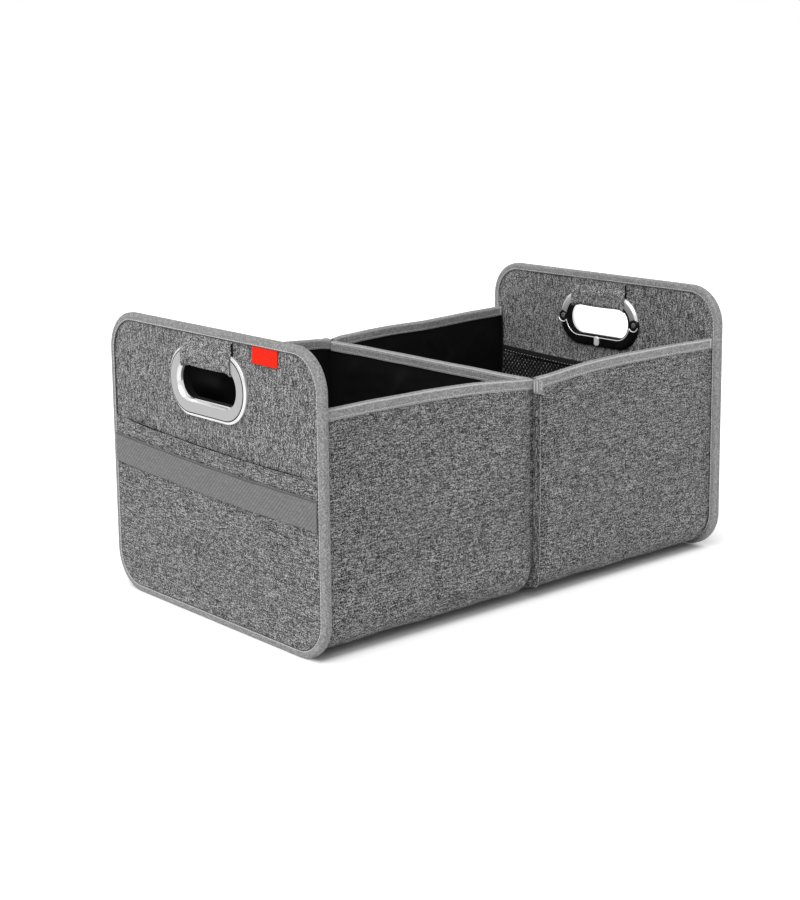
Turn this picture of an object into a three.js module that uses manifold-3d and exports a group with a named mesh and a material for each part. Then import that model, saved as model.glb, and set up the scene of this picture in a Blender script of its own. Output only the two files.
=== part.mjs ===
// Collapsible two-bay organizer for a car boot, in millimetres.
// +X runs along its length towards the rear end panel, +Z is up, and the
// origin lies on the floor under the middle of the body.
import * as THREE from 'three';
import { mergeVertices } from 'three/addons/utils/BufferGeometryUtils.js';
import Module from 'manifold-3d';

// Overall sizes
const overallLength = 510; // between the outer faces of the two end panels
const panelWidth = 320;
const panelHeight = 268;
const panelCorner = 38; // radius of the end panels' corners

// Layers of an end panel, from its middle outwards
const pieceGap = 0.3; // room between neighbouring pieces
const panelBoard = 2.6;
const panelFabric = 1.1;
const tapeThickness = 1.0; // every binding is a folded tape of this thickness
const bindingFace = 7.4; // width of the panel binding on each face
const bindingRound = 2.2; // rounding of the binding's folded edge

// Carry handles
const handleDrop = 50; // middle of the hand hole below the panel's top
const handHoleWidth = 86;
const handHoleHeight = 33;
const handHoleCorner = 16;
const sleeveWall = 1.8;
const flangeWidth = 13.5;
const flangeThickness = 3.5;
const flangeBevel = 1.4;
const innerRingWidth = 12;
const innerRingThickness = 3.4;
const innerRingBevel = 0.8;
const bossRadius = 6;
const screwHeadRadius = 3;
const screwHeadHeight = 1;
const snapTabWidth = 5;
const snapTabLength = 9.5;
const snapTabThickness = 0.9;

// Fabric wrap over the upper side of each handle
const wrapShort = 12; // the wrap is this much narrower than the hand hole
const wrapThickness = 1.2;
const gripThickness = 2.4; // the wrap is doubled where the fingers hold it
const wrapEase = 0.7; // slack of the wrap over the ring's rim

// Front panel's outer pocket, strap and label
const pocketFabric = 1.1;
const pocketUnderHandle = 29.5; // from the ring down to the lowest point of the pocket's upper edge
const pocketRise = 9.3; // how far the edge climbs towards the left seam
const pocketLowY = -90; // where the edge is lowest
const strapWidth = 27.5;
const strapThickness = 1.3;
const strapUnderPocket = 29.5; // from there down to the lowest point of the strap's middle line
const strapRise = 8.2;
const strapLowY = -130;
const labelWidth = 35;
const labelDrop = 14.5;
const labelThickness = 0.8;
const labelRoom = 10; // between the ring and the label

// Rear panel's mesh pocket, on its inner face
const netThickness = 0.9;
const netFoot = 22;
const netUnderHandle = 18; // between the handle's inner ring and the band
const bandHeight = 7.5;
const bandThickness = 2;

// Body between the end panels
const bodyInset = 8.2; // the body's outer face lies this far inside the panel's outline
const shellFabric = 1.1;
const wallBoard = 1.6;
const liningFabric = 0.9;
const wallDropEnd = 50.5; // from the panel's top down to the walls' tops at the end panels
const wallDropNear = 53.5; // the same where the edge starts to drop to the middle seam
const wallDropSeam = 58.5; // the same at the middle seam
const dropReach = 45; // length of that drop
const creaseDepth = 9; // how far the fold line in each bay's wall leans in at the top
const creaseGap = 2; // room for the fold between the two boards of a wall
const seamPinch = 4; // the walls are drawn in this far at the middle seam
const seamPinchReach = 16;
const wallBindingHeight = 10;

// Middle seam's outer fins and the folded tape ends over them
const finThickness = 3.4;
const finDepth = 8;
const seamTabHeight = 13.5;
const seamTabWidth = 5.2;
const seamTabDepth = 9;

// Divider
const dividerDrop = 0.5; // the divider's top is this much lower than the walls beside it
const dividerBoard = 2;
const dividerBindingHeight = 10;

// Base boards, each hinged at the divider's foot
const baseThickness = 4;
const baseCreep = 3; // a base board reaches this far past the floor's flat width
const baseCorner = 8;
const baseEndRoom = 2; // between a base board and the end panel
const hingeOffset = 5.2; // hinge line from the middle of the divider
const hingeTapeHeight = 22;
const hingeTapeThickness = 0.8;

// Levels worked out from the layers, measured from an end panel's middle plane
const boardFace = panelBoard / 2;
const fabricInside = boardFace + pieceGap;
const fabricFace = fabricInside + panelFabric;
const tapeInside = fabricFace + pieceGap;
const tapeFace = tapeInside + tapeThickness;
const flangeFace = tapeInside + flangeThickness;
const innerRingFace = tapeInside + innerRingThickness;
const panelMiddle = overallLength / 2 - tapeFace;

// Heights and places worked out from the panel's top and the handle
const handleHeight = panelHeight - handleDrop;
const wrapWidth = handHoleWidth - wrapShort;
const pocketTop = handleHeight - handHoleHeight / 2 - flangeWidth - pocketUnderHandle;
const strapMiddle = pocketTop - strapUnderPocket;
const labelMiddleY = -(handHoleWidth / 2 + flangeWidth + labelRoom + labelWidth / 2);
const netTop = handleHeight - handHoleHeight / 2 - innerRingWidth - netUnderHandle - bandHeight;
const wallTopEnd = panelHeight - wallDropEnd;
const wallTopNear = panelHeight - wallDropNear;
const wallTopSeam = panelHeight - wallDropSeam;
const dividerTop = wallTopSeam - dividerDrop;

const layerEdge = tapeThickness + pieceGap; // the panel's layers stop this far inside its outline
const panelHalf = panelWidth / 2;
const bodyHalf = panelHalf - bodyInset;
const bodyCorner = panelCorner - bodyInset;
const bodyEnd = panelMiddle - tapeInside; // where the body meets the end panel's inner face
const boardInset = shellFabric + pieceGap;
const liningInset = boardInset + wallBoard + pieceGap;
const wallThickness = liningInset + liningFabric;
const creaseX = bodyEnd / 2;
const creaseFoot = bodyInset + bodyCorner;
const liningFloor = bodyInset + wallThickness;
const dividerLiningFace = dividerBoard / 2 + pieceGap + liningFabric;
const baseBottom = liningFloor + pieceGap;
const baseTop = baseBottom + baseThickness;
const baseHalfWidth = bodyHalf - seamPinch - bodyCorner + baseCreep;

const cornerSteps = 8;

const wasm = await Module();
wasm.setup();

// Surface finishes
function finish(color, roughness, metalness = 0) {
  return new THREE.MeshStandardMaterial({ color, roughness, metalness });
}

const heather = finish(0x6f7072, 0.95);
const lining = finish(0x101012, 0.7);
const grosgrain = finish(0x8b8c8e, 0.8);
const webbing = finish(0x77787a, 0.75);
const plated = finish(0xc9cacc, 0.25, 1);
const blackPlastic = finish(0x0c0c0d, 0.35);
const steel = finish(0x9a9b9d, 0.35, 1);
const boardPlastic = finish(0xb9b9b4, 0.6);
const netting = finish(0x161617, 0.8);
const elastic = finish(0x0e0e0f, 0.85);
const redLabel = finish(0xf2301c, 0.6);

const organizer = new THREE.Group();

function addPiece(name, geometry, material) {
  const piece = new THREE.Mesh(geometry, material);
  piece.name = name;
  organizer.add(piece);
  return piece;
}

// Closed loop of a rectangle with round corners, anticlockwise from its lower right corner
function roundedLoop(halfWidth, bottom, top, radius) {
  const loop = [];
  const corners = [
    [halfWidth - radius, bottom + radius, -0.5],
    [halfWidth - radius, top - radius, 0],
    [radius - halfWidth, top - radius, 0.5],
    [radius - halfWidth, bottom + radius, 1],
  ];
  corners.forEach(([centreY, centreZ, quarter]) => {
    for (let step = 0; step <= cornerSteps; step += 1) {
      const angle = Math.PI * (quarter + step / cornerSteps / 2);
      const y = centreY + radius * Math.cos(angle);
      const z = centreZ + radius * Math.sin(angle);
      loop.push(new THREE.Vector2(y, z));
    }
  });
  return loop;
}

function panelLoop(inset) {
  return roundedLoop(panelHalf - inset, inset, panelHeight - inset, panelCorner - inset);
}

// The hand hole's outline, grown outwards by a distance
function handleLoop(grow) {
  const half = handHoleHeight / 2 + grow;
  const corner = handHoleCorner + grow;
  return roundedLoop(handHoleWidth / 2 + grow, handleHeight - half, handleHeight + half, corner);
}

// Six times the signed volume of a closed triangle mesh
function signedVolume(positions, index) {
  const corner = (i) => new THREE.Vector3().fromArray(positions, 3 * i);
  let sum = 0;
  for (let i = 0; i < index.length; i += 3) {
    const normal = corner(index[i + 1]).cross(corner(index[i + 2]));
    sum += corner(index[i]).dot(normal);
  }
  return sum;
}

function meshGeometry(positions, index) {
  if (signedVolume(positions, index) < 0) {
    index.reverse();
  }
  const geometry = new THREE.BufferGeometry();
  geometry.setAttribute('position', new THREE.Float32BufferAttribute(positions, 3));
  geometry.setIndex(index);
  geometry.computeVertexNormals();
  return geometry;
}

// End of a body whose loops are a flat outline, as triangles in the outline's sense
function outlineCap(outline) {
  const turn = Math.sign(THREE.ShapeUtils.area(outline));
  return THREE.ShapeUtils.triangulateShape(outline, []).map((face) => {
    const facing = Math.sign(THREE.ShapeUtils.area(face.map((i) => outline[i])));
    return facing === turn ? face : [face[0], face[2], face[1]];
  });
}

// End of a layer whose loops run out along one track and back along another
function layerCap(count) {
  const faces = [];
  for (let i = 0; i < count / 2 - 1; i += 1) {
    faces.push([i, i + 1, count - 2 - i], [i, count - 2 - i, count - 1 - i]);
  }
  return faces;
}

// Closed body through loops of equally many points. Joined end to start it is a
// ring; otherwise a cap closes both ends. Each four-sided field is split along
// its shorter diagonal, so that parallel layers split alike.
function loft(loops, cap = null) {
  const count = loops[0].length;
  const points = loops.flat();
  const positions = points.flatMap((point) => [point.x, point.y, point.z]);
  const index = [];
  const spans = cap ? loops.length - 1 : loops.length;
  for (let i = 0; i < spans; i += 1) {
    const next = ((i + 1) % loops.length) * count;
    for (let j = 0; j < count; j += 1) {
      const k = (j + 1) % count;
      const [a, b, c, d] = [i * count + j, i * count + k, next + k, next + j];
      if (points[a].distanceTo(points[c]) < points[b].distanceTo(points[d])) {
        index.push(a, b, c, a, c, d);
      } else {
        index.push(a, b, d, b, c, d);
      }
    }
  }
  if (cap) {
    const last = (loops.length - 1) * count;
    cap.forEach(([a, b, c]) => {
      index.push(a, c, b);
      index.push(last + a, last + b, last + c);
    });
  }
  return meshGeometry(positions, index);
}

// Flat piece across the length, between two distances along X
function slab(outline, holes, xFrom, xTo) {
  const shape = new THREE.Shape(outline);
  shape.holes = holes.map((hole) => new THREE.Path(hole));
  const depth = Math.abs(xTo - xFrom);
  const geometry = new THREE.ExtrudeGeometry(shape, { depth, bevelEnabled: false });
  const turned = new THREE.Matrix4().set(0, 0, 1, Math.min(xFrom, xTo), 1, 0, 0, 0, 0, 1, 0, 0, 0, 0, 0, 1);
  geometry.applyMatrix4(turned);
  return geometry;
}

function toSolid(geometry) {
  const bare = geometry.clone();
  bare.deleteAttribute('normal');
  bare.deleteAttribute('uv');
  const merged = mergeVertices(bare, 1e-4);
  const vertProperties = new Float32Array(merged.attributes.position.array);
  const triVerts = new Uint32Array(merged.index.array);
  return new wasm.Manifold(new wasm.Mesh({ numProp: 3, vertProperties, triVerts }));
}

function fromSolid(body) {
  const mesh = body.getMesh();
  return meshGeometry(Array.from(mesh.vertProperties), Array.from(mesh.triVerts));
}

function box(xFrom, xTo, yFrom, yTo, zFrom, zTo) {
  const geometry = new THREE.BoxGeometry(xTo - xFrom, yTo - yFrom, zTo - zFrom);
  return geometry.translate((xFrom + xTo) / 2, (yFrom + yTo) / 2, (zFrom + zTo) / 2);
}

// Round disc whose axis lies along X
function disc(xFrom, xTo, y, z, radius) {
  const geometry = new THREE.CylinderGeometry(radius, radius, Math.abs(xTo - xFrom), 24);
  geometry.rotateZ(Math.PI / 2);
  return geometry.translate((xFrom + xTo) / 2, y, z);
}

// Ring round a loop: each corner of its section is an offset from the loop and
// a level outwards from the panel's middle plane
function ringRound(loopAt, section, side) {
  const tracks = section.map(([offset, level]) => {
    const x = side * (panelMiddle + level);
    return loopAt(offset).map((point) => new THREE.Vector3(x, point.x, point.y));
  });
  return loft(tracks);
}

// Tape folded round the panel's edge; the edge is rounded and flat on the floor side
function panelBinding(side) {
  const round = bindingRound;
  const diagonal = round * (1 - Math.SQRT1_2);
  const half = [
    [bindingFace, tapeInside],
    [bindingFace, tapeFace],
    [round, tapeFace],
    [diagonal, tapeFace - diagonal],
    [0, tapeFace - round],
  ];
  const section = [
    ...half,
    ...half.map(([offset, level]) => [offset, -level]).reverse(),
    [tapeThickness, -tapeInside],
    [tapeThickness, tapeInside],
  ];
  return ringRound(panelLoop, section, side);
}

// Plated ring on the outer face, with the sleeve that lines the hand hole and a
// snap tab that hooks over the inner ring below it
function handleRing(side) {
  const sleeveEnd = -innerRingFace + innerRingBevel;
  const section = [
    [0, sleeveEnd],
    [0, flangeFace - flangeBevel],
    [flangeBevel, flangeFace],
    [flangeWidth - flangeBevel, flangeFace],
    [flangeWidth, flangeFace - flangeBevel],
    [flangeWidth, tapeInside],
    [sleeveWall, tapeInside],
    [sleeveWall, sleeveEnd],
  ];
  const ring = toSolid(ringRound(handleLoop, section, side));
  const half = snapTabWidth / 2;
  const tabFloor = innerRingFace + pieceGap;
  const tabTop = tabFloor + snapTabThickness;
  const holeEdge = handleHeight - handHoleHeight / 2;
  const tabEnd = holeEdge - snapTabLength + half;
  const level = (value) => side * (panelMiddle - value);
  const finger = slab(
    [
      new THREE.Vector2(-half, tabEnd),
      new THREE.Vector2(half, tabEnd),
      new THREE.Vector2(half, holeEdge),
      new THREE.Vector2(-half, holeEdge),
    ],
    [],
    level(tabFloor),
    level(tabTop),
  );
  const tip = disc(level(tabFloor), level(tabTop), 0, tabEnd, half);
  const stem = slab(
    [
      new THREE.Vector2(-half, holeEdge - sleeveWall),
      new THREE.Vector2(half, holeEdge - sleeveWall),
      new THREE.Vector2(half, holeEdge),
      new THREE.Vector2(-half, holeEdge),
    ],
    [],
    level(-sleeveEnd - sleeveWall),
    level(tabTop),
  );
  return fromSolid(ring.add(toSolid(finger)).add(toSolid(tip)).add(toSolid(stem)));
}

// The inner ring is split level with the hand hole's middle: a plated arch above
// and a black cover below, whose ends carry round screw bosses
function innerRingSolid(side) {
  const foot = sleeveWall + pieceGap;
  const section = [
    [foot, -tapeInside],
    [foot, -innerRingFace + innerRingBevel],
    [foot + innerRingBevel, -innerRingFace],
    [innerRingWidth - innerRingBevel, -innerRingFace],
    [innerRingWidth, -innerRingFace + innerRingBevel],
    [innerRingWidth, -tapeInside],
  ];
  return toSolid(ringRound(handleLoop, section, side));
}

const bossY = (handHoleWidth / 2) + (sleeveWall + pieceGap + innerRingWidth) / 2;

function bossDiscs(side, radius, fromLevel, toLevel) {
  const from = side * (panelMiddle - fromLevel);
  const to = side * (panelMiddle - toLevel);
  const left = toSolid(disc(from, to, bossY, handleHeight, radius));
  const right = toSolid(disc(from, to, -bossY, handleHeight, radius));
  return left.add(right);
}

// Everything on one side of the level through the hand hole's middle
function halfSpace(side, above) {
  const reach = panelWidth;
  const near = side * (panelMiddle - reach);
  const far = side * (panelMiddle + reach);
  const [xFrom, xTo] = [Math.min(near, far), Math.max(near, far)];
  const zFrom = above ? handleHeight + pieceGap : handleHeight - reach;
  const zTo = above ? handleHeight + reach : handleHeight;
  return toSolid(box(xFrom, xTo, -reach, reach, zFrom, zTo));
}

function screwPocket(side) {
  return bossDiscs(side, screwHeadRadius + pieceGap, innerRingFace - screwHeadHeight, innerRingFace + 1);
}

// The cover's bosses keep clear of the sleeve beside them
function handleCover(side) {
  const bosses = bossDiscs(side, bossRadius, tapeInside, innerRingFace);
  const sleeveRoom = toSolid(slab(
    handleLoop(sleeveWall + pieceGap),
    [],
    side * (panelMiddle - tapeInside + 1),
    side * (panelMiddle - innerRingFace - 1),
  ));
  const lower = innerRingSolid(side).intersect(halfSpace(side, false));
  return fromSolid(lower.add(bosses).subtract(sleeveRoom).subtract(screwPocket(side)));
}

function handleArch(side) {
  const clear = bossDiscs(side, bossRadius + pieceGap, tapeInside - 1, innerRingFace + 1);
  const upper = innerRingSolid(side).intersect(halfSpace(side, true));
  return fromSolid(upper.subtract(clear));
}

// Countersunk screw head set in its boss
function handleScrew(side, across) {
  const seat = innerRingFace - screwHeadHeight + pieceGap;
  const from = side * (panelMiddle - seat);
  const to = side * (panelMiddle - innerRingFace);
  return disc(from, to, across * bossY, handleHeight, screwHeadRadius);
}

// Height of the handle outline's upper edge at a distance from its middle
function handleEdge(y, grow) {
  const half = handHoleHeight / 2 + grow;
  const corner = handHoleCorner + grow;
  const past = Math.abs(y) - (handHoleWidth / 2 - handHoleCorner);
  const drop = past > 0 ? corner - Math.sqrt(corner * corner - past * past) : 0;
  return handleHeight + half - drop;
}

// Band that comes down from the top binding, passes over the ring, turns through
// the hand hole and goes up the panel's other face
function gripWrap(side) {
  const top = panelHeight - bindingFace - pieceGap;
  const sideRoom = Math.max(flangeFace, innerRingFace) + pieceGap;
  const outside = sideRoom + wrapThickness;
  const steps = 14;
  const loops = [];
  let outline = null;
  for (let step = 0; step <= steps; step += 1) {
    const y = wrapWidth * (step / steps - 0.5);
    const rise = 1 - (2 * step / steps - 1) ** 2;
    const thick = wrapThickness + (gripThickness - wrapThickness) * rise;
    const ringTop = handleEdge(y, flangeWidth) + wrapEase;
    const under = handleEdge(y, 0) - pieceGap;
    const half = [
      [tapeInside, top],
      [tapeInside + wrapThickness, top],
      [outside, ringTop],
      [outside, under + thick],
      [sideRoom, under - thick],
    ];
    const inner = [
      [sideRoom, under],
      [sideRoom, ringTop - flangeBevel],
      [tapeInside, ringTop + wrapThickness],
    ];
    const section = [
      ...half,
      ...half.map(([level, z]) => [-level, z]).reverse(),
      ...inner.map(([level, z]) => [-level, z]).reverse(),
      ...inner,
    ];
    loops.push(section.map(([level, z]) => new THREE.Vector3(side * (panelMiddle + level), y, z)));
    outline = outline ?? section.map(([level, z]) => new THREE.Vector2(level, z));
  }
  return loft(loops, outlineCap(outline));
}

function endPanel(end, side, innerMaterial) {
  const at = (level) => side * (panelMiddle + level);
  const outline = panelLoop(layerEdge);
  const hole = handleLoop(sleeveWall + pieceGap);
  addPiece(`${end}_panel_board`, slab(outline, [hole], at(-boardFace), at(boardFace)), boardPlastic);
  addPiece(`${end}_panel_outer_fabric`, slab(outline, [hole], at(fabricInside), at(fabricFace)), heather);
  addPiece(`${end}_panel_inner_fabric`, slab(outline, [hole], at(-fabricInside), at(-fabricFace)), innerMaterial);
  addPiece(`${end}_panel_binding`, panelBinding(side), grosgrain);
  addPiece(`${end}_handle_ring`, handleRing(side), plated);
  addPiece(`${end}_handle_arch`, handleArch(side), plated);
  addPiece(`${end}_handle_cover`, handleCover(side), blackPlastic);
  addPiece(`${end}_handle_left_screw`, handleScrew(side, 1), steel);
  addPiece(`${end}_handle_right_screw`, handleScrew(side, -1), steel);
  addPiece(`${end}_grip_wrap`, gripWrap(side), heather);
}

endPanel('front', -1, lining);
endPanel('rear', 1, heather);

// Pieces on the end panels' faces keep this far from the panel's outline
const faceEdge = bindingFace + pieceGap;
const faceHalf = panelHalf - faceEdge;

// Height of a sagging edge: lowest at one place and climbing as the square of the distance
function sag(y, low, rise, lowY) {
  return low + rise * ((y - lowY) / (faceHalf - lowY)) ** 2;
}

// Pocket sewn into the binding at both sides and below
function frontPocket() {
  const steps = 16;
  const lower = roundedLoop(faceHalf, faceEdge, panelHeight / 2, panelCorner - faceEdge);
  const corner = cornerSteps + 1;
  const outline = lower.slice(0, corner);
  for (let step = 0; step <= steps; step += 1) {
    const y = faceHalf * (1 - 2 * step / steps);
    outline.push(new THREE.Vector2(y, sag(y, pocketTop, pocketRise, pocketLowY)));
  }
  outline.push(...lower.slice(3 * corner));
  const inside = -(panelMiddle + tapeInside);
  return slab(outline, [], inside, inside - pocketFabric);
}

const pocketFace = tapeInside + pocketFabric + pieceGap;

// Strap sewn into the binding at both sides, across the pocket
function frontStrap() {
  const steps = 16;
  const upper = [];
  const lower = [];
  for (let step = 0; step <= steps; step += 1) {
    const y = faceHalf * (1 - 2 * step / steps);
    const middle = sag(y, strapMiddle, strapRise, strapLowY);
    upper.push(new THREE.Vector2(y, middle + strapWidth / 2));
    lower.push(new THREE.Vector2(y, middle - strapWidth / 2));
  }
  const inside = -(panelMiddle + pocketFace);
  return slab([...upper, ...lower.reverse()], [], inside, inside - strapThickness);
}

function labelTab() {
  const top = panelHeight - faceEdge;
  const inside = -(panelMiddle + tapeInside);
  const from = labelMiddleY - labelWidth / 2;
  return box(inside - labelThickness, inside, from, from + labelWidth, top - labelDrop, top);
}

addPiece('front_pocket', frontPocket(), heather);
addPiece('front_strap', frontStrap(), webbing);
addPiece('label_tab', labelTab(), redLabel);

// The mesh pocket fills the rear panel between the side walls
const netHalf = bodyHalf - wallThickness - pieceGap - tapeThickness;
const netBack = panelMiddle - tapeInside;

addPiece(
  'mesh_pocket_net',
  box(netBack - netThickness, netBack, -netHalf + bodyCorner / 2, netHalf - bodyCorner / 2, netFoot, netTop),
  netting,
);
addPiece(
  'mesh_pocket_band',
  box(netBack - bandThickness, netBack, -netHalf, netHalf, netTop + pieceGap, netTop + pieceGap + bandHeight),
  elastic,
);

// Top edge of the walls, binding included
function wallTop(x) {
  const away = Math.abs(x);
  if (away < dropReach) {
    return wallTopSeam + (wallTopNear - wallTopSeam) * away / dropReach;
  }
  return wallTopNear + (wallTopEnd - wallTopNear) * (away - dropReach) / (bodyEnd - dropReach);
}

// How far the walls are drawn in beside the middle seam
function pinch(x) {
  return seamPinch * Math.max(0, 1 - Math.abs(x) / seamPinchReach);
}

// How far a wall leans in at a place: most at the top of its fold line
function lean(x, z) {
  const along = 1 - Math.abs(Math.abs(x) - creaseX) / creaseX;
  const up = Math.max(0, (z - creaseFoot) / (wallTopEnd - creaseFoot));
  return creaseDepth * along * up;
}

// A wall point on one side, at a distance inside the body's outer face
function wallPoint(x, across, inset, z) {
  const y = bodyHalf - inset - pinch(x) - lean(x, z);
  return new THREE.Vector3(x, across * y, z);
}

// Places along one bay where a wall's shape changes, between two distances
function stations(side, from, to) {
  const places = [seamPinchReach, dropReach, creaseX];
  const inside = places.filter((place) => place > from + pieceGap && place < to - pieceGap);
  return [from, ...inside, to].map((place) => side * place);
}

// Heights in a wall's layers: its top under the binding, and the binding's lower edge
function wallLevels(x) {
  return [wallTop(x) - tapeThickness - pieceGap, wallTop(x) - wallBindingHeight];
}

// One side of a layer that runs down the left wall, under the floor and up the right wall
function bayTrack(x, inset) {
  const radius = bodyCorner - inset;
  const centreY = bodyHalf - pinch(x) - bodyCorner;
  const centreZ = bodyInset + bodyCorner;
  const half = [];
  for (let step = 0; step <= cornerSteps; step += 1) {
    const angle = Math.PI / 2 * step / cornerSteps;
    half.push([centreY + radius * Math.cos(angle), centreZ - radius * Math.sin(angle)]);
  }
  const left = half.map(([y, z]) => new THREE.Vector3(x, y, z));
  const right = half.map(([y, z]) => new THREE.Vector3(x, -y, z)).reverse();
  const levels = wallLevels(x);
  const leftWall = levels.map((z) => wallPoint(x, 1, inset, z));
  const rightWall = levels.map((z) => wallPoint(x, -1, inset, z)).reverse();
  return [...leftWall, ...left, ...right, ...rightWall];
}

function bayLayer(side, insetFrom, insetTo) {
  const loops = stations(side, pieceGap / 2, bodyEnd).map((x) => {
    const outer = bayTrack(x, insetFrom);
    const inner = bayTrack(x, insetTo).reverse();
    return [...outer, ...inner];
  });
  return loft(loops, layerCap(loops[0].length));
}

// Stiffener between a wall's fabric and its lining, on one side of the fold line
function wallStiffener(side, across, from, to) {
  const foot = creaseFoot + pieceGap;
  const loops = stations(side, from, to).map((x) => {
    const levels = [...wallLevels(x), foot];
    const outer = levels.map((z) => wallPoint(x, across, boardInset, z));
    const inner = levels.map((z) => wallPoint(x, across, boardInset + wallBoard, z));
    return [...outer, ...inner.reverse()];
  });
  return loft(loops, layerCap(loops[0].length));
}

// Tape folded over the top of a wall
function wallBinding(side, across) {
  const outside = -pieceGap - tapeThickness;
  const inside = wallThickness + pieceGap + tapeThickness;
  const round = tapeThickness;
  const from = seamTabWidth / 2 + pieceGap;
  const to = panelMiddle - tapeFace - pieceGap;
  const loops = stations(side, from, to).map((x) => {
    const top = wallTop(x);
    const foot = top - wallBindingHeight;
    const section = [
      [outside, foot],
      [outside, top - round],
      [outside + round, top],
      [inside - round, top],
      [inside, top - round],
      [inside, foot],
      [inside - tapeThickness, foot],
      [inside - tapeThickness, top - tapeThickness],
      [outside + tapeThickness, top - tapeThickness],
      [outside + tapeThickness, foot],
    ];
    return section.map(([inset, z]) => wallPoint(x, across, inset, z));
  });
  const outline = loops[0].map((point) => new THREE.Vector2(point.y, point.z));
  return loft(loops, outlineCap(outline));
}

const bays = [['front', -1], ['rear', 1]];
const walls = [['left', 1], ['right', -1]];

bays.forEach(([bay, side]) => {
  addPiece(`${bay}_bay_shell`, bayLayer(side, 0, shellFabric), heather);
  addPiece(`${bay}_bay_lining`, bayLayer(side, liningInset, wallThickness), lining);
  walls.forEach(([wall, across]) => {
    const inner = wallStiffener(side, across, seamPinchReach, creaseX - creaseGap / 2);
    const outer = wallStiffener(side, across, creaseX + creaseGap / 2, bodyEnd - pieceGap);
    addPiece(`${bay}_${wall}_inner_wall_board`, inner, boardPlastic);
    addPiece(`${bay}_${wall}_outer_wall_board`, outer, boardPlastic);
    addPiece(`${bay}_${wall}_wall_binding`, wallBinding(side, across), grosgrain);
  });
});

// Fin of the middle seam: it stands out from the drawn-in walls and runs out
// round the lower corner
function seamFin(across) {
  const top = wallTop(0) - seamTabHeight - pieceGap;
  const half = finThickness / 2;
  const edge = bodyHalf - pinch(half) + pieceGap;
  const centreY = edge - bodyCorner - pieceGap;
  const centreZ = bodyInset + bodyCorner;
  const radius = bodyCorner + pieceGap;
  const sweep = Math.PI * 0.42;
  const places = [[edge, top, 0]];
  for (let step = 0; step <= cornerSteps; step += 1) {
    places.push([null, null, sweep * step / cornerSteps]);
  }
  const loops = places.map(([y, z, angle]) => {
    const depth = finDepth * (1 - 0.9 * angle / sweep);
    const out = new THREE.Vector2(Math.cos(angle), -Math.sin(angle));
    const footY = y ?? centreY + radius * out.x;
    const footZ = z ?? centreZ + radius * out.y;
    const tipY = footY + depth * out.x;
    const tipZ = footZ + depth * out.y;
    return [
      new THREE.Vector3(-half, across * footY, footZ),
      new THREE.Vector3(half, across * footY, footZ),
      new THREE.Vector3(half, across * tipY, tipZ),
      new THREE.Vector3(-half, across * tipY, tipZ),
    ];
  });
  return loft(loops, layerCap(loops[0].length));
}

// End of the binding tape, folded over the top of the seam
function seamTab(across) {
  const top = wallTop(0);
  const half = seamTabWidth / 2;
  const foot = bodyHalf - pinch(half) + pieceGap;
  const tip = foot + seamTabDepth;
  const yFrom = Math.min(across * foot, across * tip);
  return box(-half, half, yFrom, yFrom + seamTabDepth, top - seamTabHeight, top);
}

walls.forEach(([wall, across]) => {
  addPiece(`${wall}_seam_fin`, seamFin(across), heather);
  addPiece(`${wall}_seam_tab`, seamTab(across), grosgrain);
});

// Divider: its outline follows the lining's round lower corners
const dividerHalf = bodyHalf - seamPinch - wallThickness - pieceGap;

function dividerOutline() {
  const foot = liningFloor + pieceGap;
  const corner = bodyCorner - wallThickness;
  const top = dividerTop - tapeThickness - pieceGap;
  const loop = roundedLoop(dividerHalf, foot, foot + 2 * corner + dividerTop, corner);
  const count = cornerSteps + 1;
  return [
    ...loop.slice(0, count),
    new THREE.Vector2(dividerHalf, top),
    new THREE.Vector2(-dividerHalf, top),
    ...loop.slice(3 * count),
  ];
}

function dividerBinding() {
  const half = bodyHalf - seamPinch - wallThickness - 2 * pieceGap - tapeThickness;
  const outside = dividerLiningFace + pieceGap + tapeThickness;
  const inside = outside - tapeThickness;
  const foot = dividerTop - dividerBindingHeight;
  const section = [
    [-outside, foot],
    [-outside, dividerTop - tapeThickness],
    [tapeThickness - outside, dividerTop],
    [outside - tapeThickness, dividerTop],
    [outside, dividerTop - tapeThickness],
    [outside, foot],
    [inside, foot],
    [inside, dividerTop - tapeThickness],
    [-inside, dividerTop - tapeThickness],
    [-inside, foot],
  ];
  const loops = [-half, half].map((y) => section.map(([x, z]) => new THREE.Vector3(x, y, z)));
  return loft(loops, outlineCap(section.map(([x, z]) => new THREE.Vector2(x, z))));
}

const dividerBoardFace = dividerBoard / 2;
addPiece('divider_board', slab(dividerOutline(), [], -dividerBoardFace, dividerBoardFace), boardPlastic);
bays.forEach(([bay, side]) => {
  const from = side * (dividerBoardFace + pieceGap);
  const to = side * dividerLiningFace;
  addPiece(`divider_${bay}_lining`, slab(dividerOutline(), [], from, to), lining);
});
addPiece('divider_binding', dividerBinding(), grosgrain);

// Stiff base board in its sewn cover; it lifts about its upper edge at the divider
function baseBoard(side) {
  const from = hingeOffset;
  const to = bodyEnd - baseEndRoom;
  const half = (to - from) / 2;
  const loop = roundedLoop(half, -baseHalfWidth, baseHalfWidth, baseCorner);
  const geometry = new THREE.ExtrudeGeometry(
    new THREE.Shape(loop),
    { depth: baseThickness, bevelEnabled: false },
  );
  return geometry.translate(side * (from + half), 0, baseBottom);
}

// Tape sewn to the divider's foot; its lower edge is the hinge line
function hingeTape(side) {
  const inside = dividerLiningFace + pieceGap;
  const outside = inside + hingeTapeThickness;
  const [xFrom, xTo] = side > 0 ? [inside, outside] : [-outside, -inside];
  return box(xFrom, xTo, -baseHalfWidth, baseHalfWidth, baseTop, baseTop + hingeTapeHeight);
}

bays.forEach(([bay, side]) => {
  addPiece(`${bay}_base_board`, baseBoard(side), lining);
  addPiece(`${bay}_hinge_tape`, hingeTape(side), elastic);
});

export default organizer;
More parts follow.
